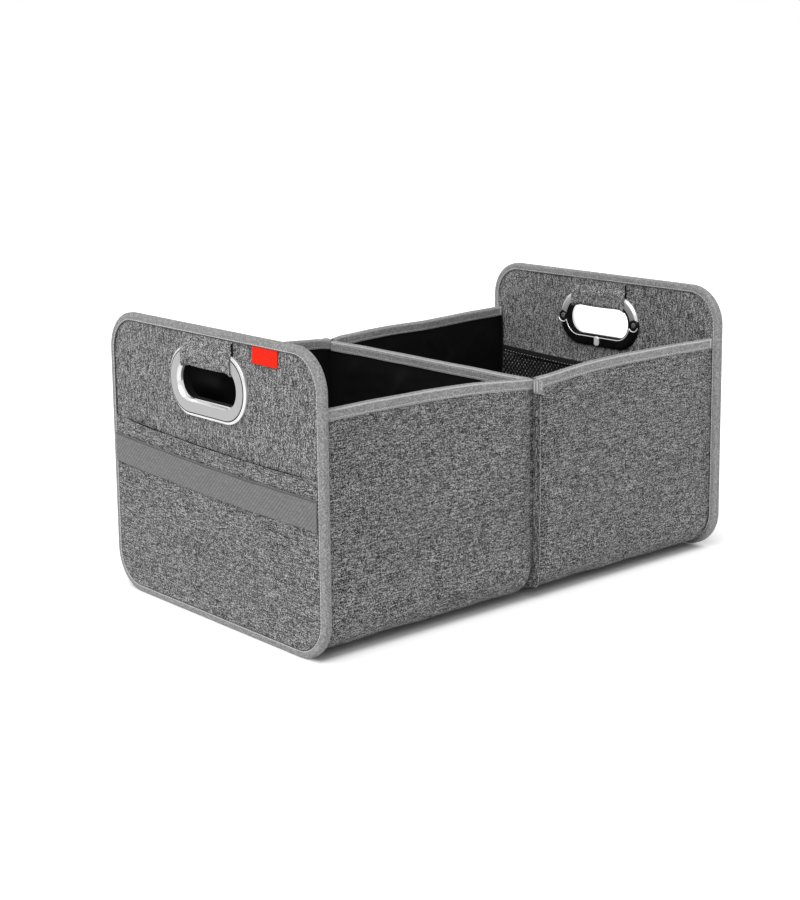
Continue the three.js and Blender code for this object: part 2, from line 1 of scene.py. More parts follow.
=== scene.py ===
import bpy
import numpy as np
from mathutils import Matrix, Vector


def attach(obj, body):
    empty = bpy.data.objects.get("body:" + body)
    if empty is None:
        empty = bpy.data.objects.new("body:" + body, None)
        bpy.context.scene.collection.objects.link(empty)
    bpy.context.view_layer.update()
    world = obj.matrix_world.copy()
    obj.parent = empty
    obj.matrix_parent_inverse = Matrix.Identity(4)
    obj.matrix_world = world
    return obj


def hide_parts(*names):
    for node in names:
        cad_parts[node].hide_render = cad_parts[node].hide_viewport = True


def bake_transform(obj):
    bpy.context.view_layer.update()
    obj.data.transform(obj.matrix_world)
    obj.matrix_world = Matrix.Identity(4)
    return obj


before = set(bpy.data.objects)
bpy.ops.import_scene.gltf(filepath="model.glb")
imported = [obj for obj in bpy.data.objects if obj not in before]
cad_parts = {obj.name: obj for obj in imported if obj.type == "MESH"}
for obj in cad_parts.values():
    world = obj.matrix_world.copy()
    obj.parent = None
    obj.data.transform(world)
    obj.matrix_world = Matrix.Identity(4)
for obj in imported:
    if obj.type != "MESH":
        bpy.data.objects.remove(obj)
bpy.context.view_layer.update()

# Table and light. The table is a white sheet that runs past the view, lit by an
# even white sky and one broad lamp high on the front left, so that shadows stay close to
# the organizer's foot. Its glow, seen only directly, is dimmer beside the foot and falls
# to nothing right at it: a painted shadow round the organizer's foot.
MM = 0.001  # every shape below is worked out in millimetres
TABLE_SIZE = 9000.0
SKY_LIGHT = 0.50
LAMP_STRENGTH = 2.1
LAMP_FROM = (-0.62, -0.30, 0.80)
LAMP_ANGLE = 0.9
TABLE_GLOW = (0.3, 0.54)  # glow seen directly, dimmer beside the organizer's foot (painted shadow) and farther out, with how far
GLOW_REACH = 0.08
PAINTED_CONTACT_SHADOW_REACH = 0.009  # painted dark contact shadow right at the foot


def put(tree, kind, *values, **settings):
    """A shader node of one kind; each value, in the order of the node's sockets, is a
    number or another node's output, and None leaves a socket alone."""
    made = tree.nodes.new("ShaderNode" + kind)
    for key, value in settings.items():
        setattr(made, key, value)
    for socket, value in zip(made.inputs, values):
        if isinstance(value, bpy.types.NodeSocket):
            tree.links.new(value, socket)
        elif value is not None:
            socket.default_value = value
    return made


def maths(tree, operation, *values):
    return put(tree, "Math", *values, operation=operation).outputs[0]


def fresh_material(name):
    """An empty material with its node tree and its output node."""
    made = bpy.data.materials.new(name)
    made.use_nodes = True
    made.node_tree.nodes.clear()
    return made, made.node_tree, made.node_tree.nodes.new("ShaderNodeOutputMaterial")


def seen_directly(tree):
    """1 for rays from the camera, from a mirror or through glass, 0 for light."""
    path = tree.nodes.new("ShaderNodeLightPath")
    mirrored = maths(tree, "MAXIMUM", path.outputs["Is Glossy Ray"], path.outputs["Is Transmission Ray"])
    return maths(tree, "MAXIMUM", path.outputs["Is Camera Ray"], mirrored)


world = bpy.data.worlds.new("white_room")
bpy.context.scene.world = world
world.use_nodes = True
world.node_tree.nodes.clear()
room = world.node_tree
strength = put(room, "MapRange", seen_directly(room), 0.0, 1.0, SKY_LIGHT, 1.0).outputs[0]
sky = put(room, "Background", (1.0, 1.0, 1.0, 1.0), strength)
put(room, "OutputWorld", sky.outputs[0])

lamp = bpy.data.lights.new("broad_lamp", "SUN")
lamp.energy = LAMP_STRENGTH
lamp.angle = LAMP_ANGLE
lamp_object = bpy.data.objects.new("broad_lamp", lamp)
lamp_object.rotation_euler = Vector(LAMP_FROM).to_track_quat("Z", "Y").to_euler()
bpy.context.scene.collection.objects.link(lamp_object)

table_finish, tree, out = fresh_material("table_white")
table_place = put(tree, "TexCoord").outputs["Object"]
sides = put(tree, "SeparateXYZ", table_place).outputs
beyond_ends = maths(tree, "SUBTRACT", maths(tree, "ABSOLUTE", sides[0]), 0.245)
beyond_walls = maths(tree, "SUBTRACT", maths(tree, "ABSOLUTE", sides[1]), 0.140)
beyond = maths(tree, "MAXIMUM", beyond_ends, beyond_walls)
# painted shadow: the table's glow is cut to nothing at the foot and lowered beside it
painted_contact_shadow = put(tree, "MapRange", beyond, 0.0, PAINTED_CONTACT_SHADOW_REACH, 0.0, 1.0).outputs[0]
glow_with_painted_shadow = put(tree, "MapRange", beyond, 0.0, GLOW_REACH, *TABLE_GLOW, interpolation_type="SMOOTHSTEP").outputs[0]
glow_with_painted_shadow = maths(tree, "MULTIPLY", glow_with_painted_shadow, painted_contact_shadow)
glow_with_painted_shadow = maths(tree, "MULTIPLY", seen_directly(tree), glow_with_painted_shadow)
grain = put(tree, "TexNoise", table_place, None, 900.0, 2.0)
smooth = put(tree, "MapRange", grain.outputs[0], 0.0, 1.0, 0.75, 0.85).outputs[0]
surface = tree.nodes.new("ShaderNodeBsdfPrincipled")
surface.inputs["Base Color"].default_value = (0.88, 0.88, 0.88, 1.0)
surface.inputs["Specular IOR Level"].default_value = 0.0
surface.inputs["Emission Color"].default_value = (1.0, 1.0, 1.0, 1.0)
tree.links.new(smooth, surface.inputs["Roughness"])
tree.links.new(glow_with_painted_shadow, surface.inputs["Emission Strength"])
tree.links.new(surface.outputs[0], out.inputs[0])

table_mesh = bpy.data.meshes.new("table")
reach = TABLE_SIZE * MM
table_corners = [(-reach, -reach, 0), (reach, -reach, 0), (reach, reach, 0), (-reach, reach, 0)]
table_mesh.from_pydata(table_corners, [], [(0, 1, 2, 3)])
table_mesh.materials.append(table_finish)
table = bpy.data.objects.new("table", table_mesh)
bpy.context.scene.collection.objects.link(table)

# Camera, at the height of a person's chest in front of the organizer's right wall, turned
# so that the front panel and the right wall both show.
EYE = (-1114.82, -1251.10, 515.70)
EYE_AZIMUTH = np.radians(-40.8703)
EYE_ELEVATION = np.radians(10.105)
EYE_ROLL = np.radians(-0.6223)
FOCAL_PIXELS = 1755.82
PICTURE_LONG_SIDE = 900.0
AXIS_ABOVE_MIDDLE = 100.0

back = Vector((
    np.sin(EYE_AZIMUTH) * np.cos(EYE_ELEVATION),
    -np.cos(EYE_AZIMUTH) * np.cos(EYE_ELEVATION),
    np.sin(EYE_ELEVATION),
))
level_right = Vector((0.0, 0.0, 1.0)).cross(back).normalized()
level_up = back.cross(level_right)
eye_right = level_right * np.cos(EYE_ROLL) + level_up * np.sin(EYE_ROLL)
eye_up = level_up * np.cos(EYE_ROLL) - level_right * np.sin(EYE_ROLL)
eye = bpy.data.cameras.new("eye")
eye.sensor_fit = "AUTO"
eye.sensor_width = 36.0
eye.lens = FOCAL_PIXELS / PICTURE_LONG_SIDE * 36.0
eye.shift_y = -AXIS_ABOVE_MIDDLE / PICTURE_LONG_SIDE
eye.clip_start = 0.01
eye.clip_end = 50.0
eye_object = bpy.data.objects.new("eye", eye)
eye_object.matrix_world = Matrix((
    (eye_right.x, eye_up.x, back.x, EYE[0] * MM),
    (eye_right.y, eye_up.y, back.y, EYE[1] * MM),
    (eye_right.z, eye_up.z, back.z, EYE[2] * MM),
    (0.0, 0.0, 0.0, 1.0),
))
bpy.context.scene.collection.objects.link(eye_object)
bpy.context.scene.camera = eye_object
bpy.context.scene.view_settings.view_transform = "Standard"

# End panels: a stiff plastic board with heather cloth on the outer face, cut out for the
# hand hole. The front panel's inner face has black lining, the rear one's heather cloth.
# The cloth is stretched over the board and pulls slightly towards the bound edge.
PANEL_MIDDLE = 251.0
PANEL_HALF = 160.0
PANEL_TOP = 268.0
PANEL_CORNER = 38.0
CLOTH_EDGE = 1.3  # the cloth stops this far inside the outline
CLOTH_FACE = 2.7  # from the panel's middle plane
CLOTH_THICK = 1.1
HOLE_HALF = 43.0
HOLE_MIDDLE = 218.0
HOLE_HALF_HEIGHT = 16.5
HOLE_CORNER = 16.0
HOLE_TRIM = 2.1  # the cloth is cut this much wider than the hand hole
YARN = 0.6  # width of one yarn of the heather cloth
ENDS = (("front", -1.0), ("rear", 1.0))


def patch(points, uv, ring=False, tube=False, ends=False, facing=None):
    """One stretch of surface through rows x columns of points. ring joins the last row to
    the first, tube the last column to the first, and ends closes a tube's two open ends.
    uv has one more row or column than points where the surface closes on itself. An open
    surface is turned to face the way of facing, and a closed one outwards."""
    rows, cols = points.shape[:2]
    i, j = np.meshgrid(np.arange(rows - 1 + ring), np.arange(cols - 1 + tube), indexing="ij")
    corners = [(i, j), (i + 1, j), (i + 1, j + 1), (i, j + 1)]
    quads = np.stack([(a % rows) * cols + b % cols for a, b in corners], -1).reshape(-1, 4)
    quad_uv = np.stack([uv[a, b] for a, b in corners], 2).reshape(-1, 4, 2)
    flat = points.reshape(-1, 3)
    a, b, c, d = (flat[quads[:, k]] for k in range(4))
    area = np.cross(c - a, d - b)
    if facing is None:
        turned = np.einsum("ij,ij->", area, (a + b + c + d) / 4 - flat.mean(0)) < 0
    else:
        turned = area.sum(0) @ np.asarray(facing, float) < 0
    step = -1 if turned else 1
    loops = [quads[:, ::step].ravel()]
    sizes = [np.full(len(quads), 4)]
    uvs = [quad_uv[:, ::step].reshape(-1, 2)]
    if ends:
        first = np.arange(cols)
        last = first + (rows - 1) * cols
        loops += [first[::step], last[::-step]]
        sizes += [np.array([cols, cols])]
        uvs += [uv[0, :cols][::step], uv[rows - 1, :cols][::-step]]
    return flat, np.concatenate(loops), np.concatenate(sizes), np.concatenate(uvs)


def piece(name, patches, finish, body="root", sharp=60.0, wall=0.0, smooth=0):
    """The patches as one object: points and UV in millimetres become metres, edges
    sharper than an angle stay crisp, and wall gives an open surface its thickness."""
    offsets = np.cumsum([0] + [len(p[0]) for p in patches])
    points = np.concatenate([p[0] for p in patches]) * MM
    loops = np.concatenate([p[1] + shift for p, shift in zip(patches, offsets)])
    sizes = np.concatenate([p[2] for p in patches])
    uvs = np.concatenate([p[3] for p in patches]) * MM
    mesh = bpy.data.meshes.new(name)
    mesh.vertices.add(len(points))
    mesh.vertices.foreach_set("co", points.ravel())
    mesh.loops.add(len(loops))
    mesh.loops.foreach_set("vertex_index", loops.astype(np.int32))
    mesh.polygons.add(len(sizes))
    starts = np.concatenate([[0], np.cumsum(sizes)[:-1]])
    mesh.polygons.foreach_set("loop_start", starts.astype(np.int32))
    mesh.uv_layers.new(name="cloth").data.foreach_set("uv", uvs.ravel())
    mesh.update(calc_edges=True)
    mesh.validate()
    mesh.polygons.foreach_set("use_smooth", np.ones(len(mesh.polygons), bool))
    mesh.set_sharp_from_angle(angle=np.radians(sharp))
    mesh.materials.append(finish)
    made = bpy.data.objects.new(name, mesh)
    bpy.context.scene.collection.objects.link(made)
    if wall:
        thickness = made.modifiers.new("wall", "SOLIDIFY")
        thickness.thickness = wall * MM
        thickness.offset = -1.0
    if smooth:
        rounding = made.modifiers.new("rounding", "SUBSURF")
        rounding.levels = rounding.render_levels = smooth
    if body:
        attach(made, body)
    return made


def rim_steps(half, low, high, corner, count):
    """Places at equal steps round a rectangle with round corners, for rim(), and the
    length round it."""
    straight = np.array([high - low, 2 * half, high - low, 2 * half]) - 2 * corner
    lengths = np.stack([straight, np.full(4, corner * np.pi / 2)], 1).ravel()
    marks = np.concatenate([[0.0], np.cumsum(lengths)])
    return np.interp(np.arange(count) / count * marks[-1], marks, np.arange(9)), marks[-1]


def rim(half, low, high, corner, place):
    """Points y, z round a rectangle with round corners. Even stretches of place are its
    straight sides and odd ones its corners, anticlockwise from the left side's foot."""
    place = np.asarray(place) % 8
    stretch = np.floor(place).astype(int)
    along = place - stretch
    quarter = stretch // 2
    bend = stretch % 2
    angle = (quarter + bend * along) * np.pi / 2
    tangent = quarter * np.pi / 2
    length = np.where(quarter % 2, 2 * half, high - low) - 2 * corner
    rest = (1 - bend) * (1 - along) * length
    y = np.array([1, -1, -1, 1])[quarter] * (half - corner) + corner * np.cos(angle)
    z = np.where(quarter < 1, high, np.where(quarter < 2, high, low)) + 0.0
    z = z + np.where(quarter < 2, -corner, corner) + corner * np.sin(angle)
    return np.stack([y + np.sin(tangent) * rest, z - np.cos(tangent) * rest], -1)


def panel_rim(inset, place):
    """The end panel's outline, drawn in by a distance."""
    return rim(PANEL_HALF - inset, inset, PANEL_TOP - inset, PANEL_CORNER - inset, place)


def hole_rim(grow, place):
    """The hand hole's outline, grown by a distance."""
    half = HOLE_HALF_HEIGHT + grow
    return rim(HOLE_HALF + grow, HOLE_MIDDLE - half, HOLE_MIDDLE + half, HOLE_CORNER + grow, place)


def rim_distance(y, z, half, low, high, corner):
    """How far a point lies outside a rectangle with round corners, negative inside."""
    past_y = np.abs(y) - (half - corner)
    past_z = np.abs(z - (low + high) / 2) - ((high - low) / 2 - corner)
    outside = np.hypot(np.maximum(past_y, 0), np.maximum(past_z, 0))
    return outside + np.minimum(np.maximum(past_y, past_z), 0) - corner


def waves(a, b, size, seed, count=7):
    """Uneven ripples from -1 to 1: the mean of plane waves about size long, each with a
    direction, length and phase of its own."""
    chance = np.random.default_rng(seed)
    total = np.zeros(np.broadcast(a, b).shape)
    for turn, stretch, phase in chance.random((count, 3)):
        number = 2 * np.pi / (size * (0.7 + 0.8 * stretch))
        total += np.sin(number * (a * np.cos(np.pi * turn) + b * np.sin(np.pi * turn)) + 7 * phase)
    return total / np.sqrt(count) / 1.5


def ease(value, low, high):
    """0 below low and 1 above high, smooth between."""
    t = np.clip((value - low) / (high - low), 0, 1)
    return t * t * (3 - 2 * t)


def group_of(name, numbers, outputs):
    """A new node group whose inputs are a place on the surface and these numbers."""
    made = bpy.data.node_groups.new(name, "ShaderNodeTree")
    made.interface.new_socket("Place", in_out="INPUT", socket_type="NodeSocketVector")
    for title, value in numbers:
        socket = made.interface.new_socket(title, in_out="INPUT", socket_type="NodeSocketFloat")
        socket.default_value = value
    for title in outputs:
        made.interface.new_socket(title, in_out="OUTPUT", socket_type="NodeSocketFloat")
    return made, made.nodes.new("NodeGroupInput").outputs, made.nodes.new("NodeGroupOutput").inputs


def streaks(tree, across, along, row, wide, long, depth=2.0):
    """Uneven tone drawn out along a yarn: noise wide across it and long along it."""
    place = put(
        tree,
        "CombineXYZ",
        maths(tree, "DIVIDE", across, wide),
        maths(tree, "DIVIDE", along, long),
        row,
    )
    return put(tree, "TexNoise", place.outputs[0], None, 1.0, depth).outputs[0]


def yarn_tone(tree, number, along, row):
    """Tone of one numbered yarn: short dashes of fibre over long ones, each of one tone,
    that begin at another place in every yarn."""
    own = maths(tree, "ADD", number, row * 77.0)
    start = put(tree, "TexWhiteNoise", None, own, noise_dimensions="1D").outputs[0]
    shades = []
    for length, spare in ((0.8, 0.0), (5.0, 500.0)):
        dash = maths(tree, "ADD", maths(tree, "DIVIDE", along, length), maths(tree, "MULTIPLY", start, 9.0))
        spot = put(tree, "CombineXYZ", own, maths(tree, "FLOOR", maths(tree, "ADD", dash, spare))).outputs[0]
        shades.append(put(tree, "TexWhiteNoise", spot, noise_dimensions="2D").outputs[0])
    return put(tree, "Mix", 0.38, None, *shades, data_type="FLOAT").outputs[0]


def heather_yarns():
    """Two-tone melange weave. Upright and level yarns cross in turn; each has streaks of
    dark and pale fibre a few millimetres long, and broader slubs show in the direction
    that Upright favours. Tone runs from 0, dark fibre, to 1, pale fibre."""
    tree, given, result = group_of(
        "heather_yarns",
        [("Upright", 0.65), ("Slub", 0.5), ("Yarn", YARN)],
        ["Tone", "Height"],
    )
    parts = put(tree, "SeparateXYZ", given["Place"]).outputs
    across = maths(tree, "MULTIPLY", parts[0], 1000.0)
    up = maths(tree, "MULTIPLY", parts[1], 1000.0)
    column = maths(tree, "DIVIDE", across, given["Yarn"])
    row = maths(tree, "DIVIDE", up, given["Yarn"])
    column_number = maths(tree, "FLOOR", column)
    row_number = maths(tree, "FLOOR", row)
    standing = yarn_tone(tree, column_number, up, 3.0)
    lying = yarn_tone(tree, row_number, across, 9.0)
    crossing = put(tree, "CombineXYZ", column_number, row_number).outputs[0]
    chance = put(tree, "TexWhiteNoise", crossing, noise_dimensions="2D").outputs[0]
    bias = maths(tree, "LESS_THAN", chance, given["Upright"])
    weave = put(tree, "Mix", bias, None, lying, standing, data_type="FLOAT").outputs[0]
    slub_up = streaks(tree, across, up, 5.0, 0.42, 4.2, 3.0)
    slub_level = streaks(tree, up, across, 7.0, 0.42, 4.2, 3.0)
    slub = put(tree, "Mix", given["Upright"], None, slub_level, slub_up, data_type="FLOAT").outputs[0]
    tone = put(tree, "Mix", given["Slub"], None, weave, slub, data_type="FLOAT").outputs[0]
    spread = put(tree, "MapRange", tone, 0.21, 0.785, 0.0, 1.0).outputs[0]
    rare = streaks(tree, across, up, 11.0, 0.6, 13.0, 1.0)
    rare = put(tree, "MapRange", rare, 0.64, 0.72, 0.0, 0.35).outputs[0]
    tree.links.new(put(tree, "Clamp", maths(tree, "ADD", spread, rare)).outputs[0], result["Tone"])
    crown_up = maths(tree, "ABSOLUTE", maths(tree, "SINE", maths(tree, "MULTIPLY", column, np.pi)))
    crown_level = maths(tree, "ABSOLUTE", maths(tree, "SINE", maths(tree, "MULTIPLY", row, np.pi)))
    crown = put(tree, "Mix", bias, None, crown_level, crown_up, data_type="FLOAT").outputs[0]
    tree.links.new(maths(tree, "ADD", crown, maths(tree, "MULTIPLY", tone, 0.8)), result["Height"])
    return tree


def use_group(tree, group, place, *values):
    """A node group in a material, fed with a place and its own values."""
    used = tree.nodes.new("ShaderNodeGroup")
    used.node_tree = group
    tree.links.new(place, used.inputs["Place"])
    for socket, value in zip(list(used.inputs)[1:], values):
        socket.default_value = value
    return used


def colour_steps(tree, factor, *steps):
    """A colour ramp through (position, grey or colour) steps."""
    ramp = put(tree, "ValToRGB", factor)
    band = ramp.color_ramp
    while len(band.elements) < len(steps):
        band.elements.new(0.5)
    for stop, (position, tone) in zip(band.elements, steps):
        stop.position = position
        stop.color = (*((tone,) * 3 if np.isscalar(tone) else tone), 1.0)
    return ramp.outputs[0]


def finish_with(tree, out, colour, roughness, height=None, bump=0.0, depth=0.0, **sockets):
    """The material's one shader: colour and roughness, a bump from height where there is
    one, and plain numbers straight on its other sockets."""
    shader = tree.nodes.new("ShaderNodeBsdfPrincipled")
    for key, value in (("Base Color", colour), ("Roughness", roughness)):
        if isinstance(value, bpy.types.NodeSocket):
            tree.links.new(value, shader.inputs[key])
        else:
            shader.inputs[key].default_value = value
    if height is not None:
        relief = tree.nodes.new("ShaderNodeBump")
        relief.inputs["Strength"].default_value = bump
        relief.inputs["Distance"].default_value = depth * MM
        tree.links.new(height, relief.inputs["Height"])
        tree.links.new(relief.outputs[0], shader.inputs["Normal"])
    for key, value in sockets.items():
        shader.inputs[key.replace("_", " ")].default_value = value
    tree.links.new(shader.outputs[0], out.inputs[0])
    return shader


def cloth_place(tree, layer="cloth"):
    return put(tree, "UVMap", uv_map=layer).outputs[0]


heather_group = heather_yarns()


def heather_finish(name, upright, brightness=1.0, slub=0.06):
    """Heather cloth whose streaks run upright (1) or level (0) on the piece."""
    made, tree, out = fresh_material(name)
    place = cloth_place(tree)
    yarns = use_group(tree, heather_group, place, upright, slub, YARN)
    tones = [(0.0, 0.018), (0.30, 0.070), (0.55, 0.160), (0.80, 0.34), (1.0, 0.64)]
    tones = [(at, tone * brightness) for at, tone in tones]
    colour = colour_steps(tree, yarns.outputs["Tone"], *tones)
    patchy = put(tree, "TexNoise", place, None, 28.0, 3.0).outputs[0]
    patchy = put(tree, "MapRange", patchy, 0.3, 0.7, 0.98, 1.02).outputs[0]
    shade = tree.nodes.new("ShaderNodeVectorMath")
    shade.operation = "SCALE"
    tree.links.new(colour, shade.inputs[0])
    tree.links.new(patchy, shade.inputs["Scale"])
    rough = put(tree, "MapRange", yarns.outputs["Tone"], 0.0, 1.0, 0.95, 0.8).outputs[0]
    finish_with(
        tree, out, shade.outputs[0], rough, yarns.outputs["Height"], 0.55, 0.14,
        Specular_IOR_Level=0.12, Sheen_Weight=0.05, Sheen_Roughness=0.6,
    )
    return made


def lining_finish(name):
    """Black coated nylon: a very fine plain weave under a slightly shiny coat, with faint
    marks where it has been folded."""
    made, tree, out = fresh_material(name)
    place = cloth_place(tree)
    crossing = put(tree, "TexBrick", place, (0.2,) * 3 + (1.0,), (0.7,) * 3 + (1.0,), (0.0,) * 3 + (1.0,), 1.0)
    crossing.inputs["Scale"].default_value = 1400.0
    crossing.inputs["Mortar Size"].default_value = 0.06
    marks = put(tree, "TexNoise", place, None, 46.0, 5.0, 0.65).outputs[0]
    colour = colour_steps(tree, marks, (0.3, 0.0030), (0.62, 0.0050), (0.78, 0.008))
    rough = put(tree, "MapRange", marks, 0.3, 0.7, 0.62, 0.48).outputs[0]
    height = maths(tree, "ADD", maths(tree, "MULTIPLY", marks, 6.0), crossing.outputs[0])
    finish_with(
        tree, out, colour, rough, height, 0.35, 0.05,
        Specular_IOR_Level=0.10, Sheen_Weight=0.01, Sheen_Roughness=0.5,
    )
    return made


def board_finish(name):
    """Pale corrugated plastic sheet: flutes under a slightly mottled skin."""
    made, tree, out = fresh_material(name)
    place = put(tree, "TexCoord").outputs["Object"]
    flutes = put(tree, "TexWave", place, 105.0, 0.4, 2.0, bands_direction="Z").outputs[1]
    mottle = put(tree, "TexNoise", place, None, 160.0, 3.0).outputs[0]
    colour = colour_steps(tree, mottle, (0.3, 0.40), (0.7, 0.49))
    rough = put(tree, "MapRange", flutes, 0.0, 1.0, 0.45, 0.62).outputs[0]
    finish_with(tree, out, colour, rough, flutes, 0.4, 0.3)
    return made


upright_heather = heather_finish("heather_upright", 0.85, 0.88)
black_lining = lining_finish("black_lining")
board_plastic = board_finish("board_plastic")


def panel_cloth(side, out, free_above, seed):
    """Cloth between the hand hole and the panel's outline, as rows that grow from the one
    loop to the other. It bulges a little where nothing covers it, and near the bound
    edge it pulls into short ripples square to the seam."""
    place, length = rim_steps(PANEL_HALF, 0.0, PANEL_TOP, PANEL_CORNER, 480)
    grow = np.linspace(0.0, 1.0, 44)[:, None, None]
    inner = hole_rim(HOLE_TRIM, place)[None]
    outer = panel_rim(CLOTH_EDGE, place)[None]
    flat = inner * (1 - grow) + outer * grow
    y, z = flat[..., 0], flat[..., 1]
    inset = -rim_distance(y, z, PANEL_HALF, 0.0, PANEL_TOP, PANEL_CORNER)
    beyond = rim_distance(
        y, z, HOLE_HALF, HOLE_MIDDLE - HOLE_HALF_HEIGHT, HOLE_MIDDLE + HOLE_HALF_HEIGHT, HOLE_CORNER
    )
    free = ease(inset, 8.0, 24.0) * ease(beyond, 14.0, 30.0) * ease(z, free_above, free_above + 22.0)
    pulled = (1 - ease(inset, 8.0, 26.0)) * waves(y, z, 13.0, seed + 5)
    rise = 0.75 * free * (0.45 + 0.55 * waves(y, z, 74.0, seed)) + 0.16 * pulled
    x = side * (PANEL_MIDDLE + out * (CLOTH_FACE + rise))
    points = np.stack([x, y, z], -1)
    uv = np.concatenate([flat, flat[:, :1]], 1)
    return patch(points, uv, tube=True, facing=(side * out, 0, 0))


for seed, (end, side) in enumerate(ENDS):
    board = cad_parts[f"{end}_panel_board"]
    board.data.materials.clear()
    board.data.materials.append(board_plastic)
    faces = (("outer", 1.0, upright_heather, "heather_fabric", 160.0 if end == "front" else 0.0),)
    if end == "front":
        faces += (("inner", -1.0, black_lining, "black_lining", 0.0),)
    else:
        faces += (("inner", -1.0, upright_heather, "heather_fabric", 176.0),)
    for face, out, finish, slot, free_above in faces:
        cloth = piece(
            f"{end}_{face}_cloth",
            [panel_cloth(side, out, free_above, 10 * seed + (face == "inner"))],
            finish,
            wall=CLOTH_THICK,
        )
        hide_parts(f"{end}_panel_{face}_fabric")

# Edge binding of each end panel: grey grosgrain tape folded over the panel's edge and
# sewn through near its inner edge with one row of pale thread on each face. It is a
# little puffed.
BINDING_FACE = 7.4  # how far the tape reaches in over each face
TAPE_INSIDE = 3.0
TAPE_FACE = 4.0
TAPE_THICK = 1.0
SEAM_INSET = 6.2
STITCH_PITCH = 3.3
STITCH_LENGTH = 2.5
STITCH_WIDTH = 0.6


def soft_polygon(corners, rounding, steps=5, shut=True):
    """Outline through corners, each rounded by a parabola that leaves and meets the
    straight sides at the rounding distance."""
    corners = np.asarray(corners, float)
    before = np.roll(corners, 1, 0) - corners
    after = np.roll(corners, -1, 0) - corners
    if not shut:
        before[0] = after[-1] = 0
    rounding = np.broadcast_to(rounding, len(corners))[:, None]

    def towards(side):
        length = np.maximum(np.linalg.norm(side, axis=1, keepdims=True), 1e-9)
        return corners + side / length * np.minimum(rounding, 0.5 * length)

    start, end = towards(before)[:, None], towards(after)[:, None]
    t = np.linspace(0, 1, steps)[None, :, None]
    line = (1 - t) ** 2 * start + 2 * t * (1 - t) * corners[:, None] + t**2 * end
    return line.reshape(-1, 2)


def run_length(line, shut=False):
    """Distance along a line of points, from 0 at its first point."""
    if shut:
        line = np.concatenate([line, line[:1]])
    return np.concatenate([[0.0], np.cumsum(np.linalg.norm(np.diff(line, axis=0), axis=1))])


def swept_ring(loop_at, section, side, place, length):
    """A section of offset and level points carried round a loop: offset moves a point off
    the loop and level is its distance out from the panel's middle plane."""
    yz = loop_at(section[None, :, 0], place[:, None])
    x = np.broadcast_to(side * (PANEL_MIDDLE + section[None, :, 1]), yz.shape[:2])
    around = np.linspace(0, length, len(place) + 1)
    uv = np.stack(np.meshgrid(around, run_length(section, True), indexing="ij"), -1)
    return patch(np.concatenate([x[..., None], yz], -1), uv, ring=True, tube=True)


def stitch_row(centres, along, away, length=STITCH_LENGTH, width=STITCH_WIDTH):
    """Thread stitches: one rounded bar of six sides at each centre, lying along the seam
    and half sunk in the cloth that it stands away from."""
    count = len(centres)
    angle = np.arange(6) * np.pi / 3
    stations = np.array([-0.42, 0.0, 0.42])
    girths = np.array([0.72, 1.0, 0.72])
    local = np.stack(
        [
            np.repeat(stations * length, 6),
            np.outer(girths, np.cos(angle)).ravel() * width / 2,
            np.outer(girths, np.sin(angle)).ravel() * width / 2,
        ],
        -1,
    )
    tips = np.array([[-length / 2, 0, 0], [length / 2, 0, 0]])
    local = np.concatenate([local, tips])
    across = np.cross(away, along)
    points = (
        centres[:, None]
        + local[None, :, :1] * along[:, None]
        + local[None, :, 1:2] * across[:, None]
        + local[None, :, 2:] * away[:, None]
    )
    k = np.arange(6)
    k2 = (k + 1) % 6
    quads = np.stack([k, k2, k2 + 6, k + 6], -1)
    quads = np.concatenate([quads, quads + 6])
    tips_first = np.stack([np.full(6, 18), k2, k], -1)
    tips_last = np.stack([np.full(6, 19), k + 12, k2 + 12], -1)
    loops = np.concatenate([quads[:, ::-1].ravel(), tips_first[:, ::-1].ravel(), tips_last[:, ::-1].ravel()])
    sizes = np.concatenate([np.full(12, 4), np.full(12, 3)])
    loops = (np.arange(count)[:, None] * 20 + loops[None]).ravel()
    sizes = np.tile(sizes, count)
    spread = points.reshape(-1, 3)[loops]
    return points.reshape(-1, 3), loops, sizes, spread[:, 1:]


def corded_tape():
    """Grosgrain: fine ribs across the tape with a thread of its own in each. Place runs
    along the tape in x and across it in y."""
    tree, given, result = group_of(
        "corded_tape", [("Rib", 0.9), ("Lean", 0.0), ("Fuzz", 0.5), ("Ridge", 0.35)], ["Tone", "Height"]
    )
    parts = put(tree, "SeparateXYZ", given["Place"]).outputs
    along = maths(tree, "MULTIPLY", parts[0], 1000.0)
    across = maths(tree, "MULTIPLY", parts[1], 1000.0)
    slant = maths(tree, "ADD", along, maths(tree, "MULTIPLY", across, given["Lean"]))
    rib = maths(tree, "DIVIDE", slant, given["Rib"])
    crown = maths(tree, "ABSOLUTE", maths(tree, "SINE", maths(tree, "MULTIPLY", rib, np.pi)))
    thread = streaks(tree, maths(tree, "FLOOR", rib), across, 2.0, 0.4, 1.9)
    fibre = put(tree, "TexNoise", given["Place"], None, 780.0, 3.0).outputs[0]
    uneven = put(tree, "Mix", given["Fuzz"], None, thread, fibre, data_type="FLOAT").outputs[0]
    spread = put(tree, "MapRange", uneven, 0.36, 0.64, 0.0, 1.0).outputs[0]
    tone = put(tree, "Mix", given["Ridge"], None, spread, crown, data_type="FLOAT").outputs[0]
    tree.links.new(tone, result["Tone"])
    tree.links.new(crown, result["Height"])
    return tree


tape_group = corded_tape()


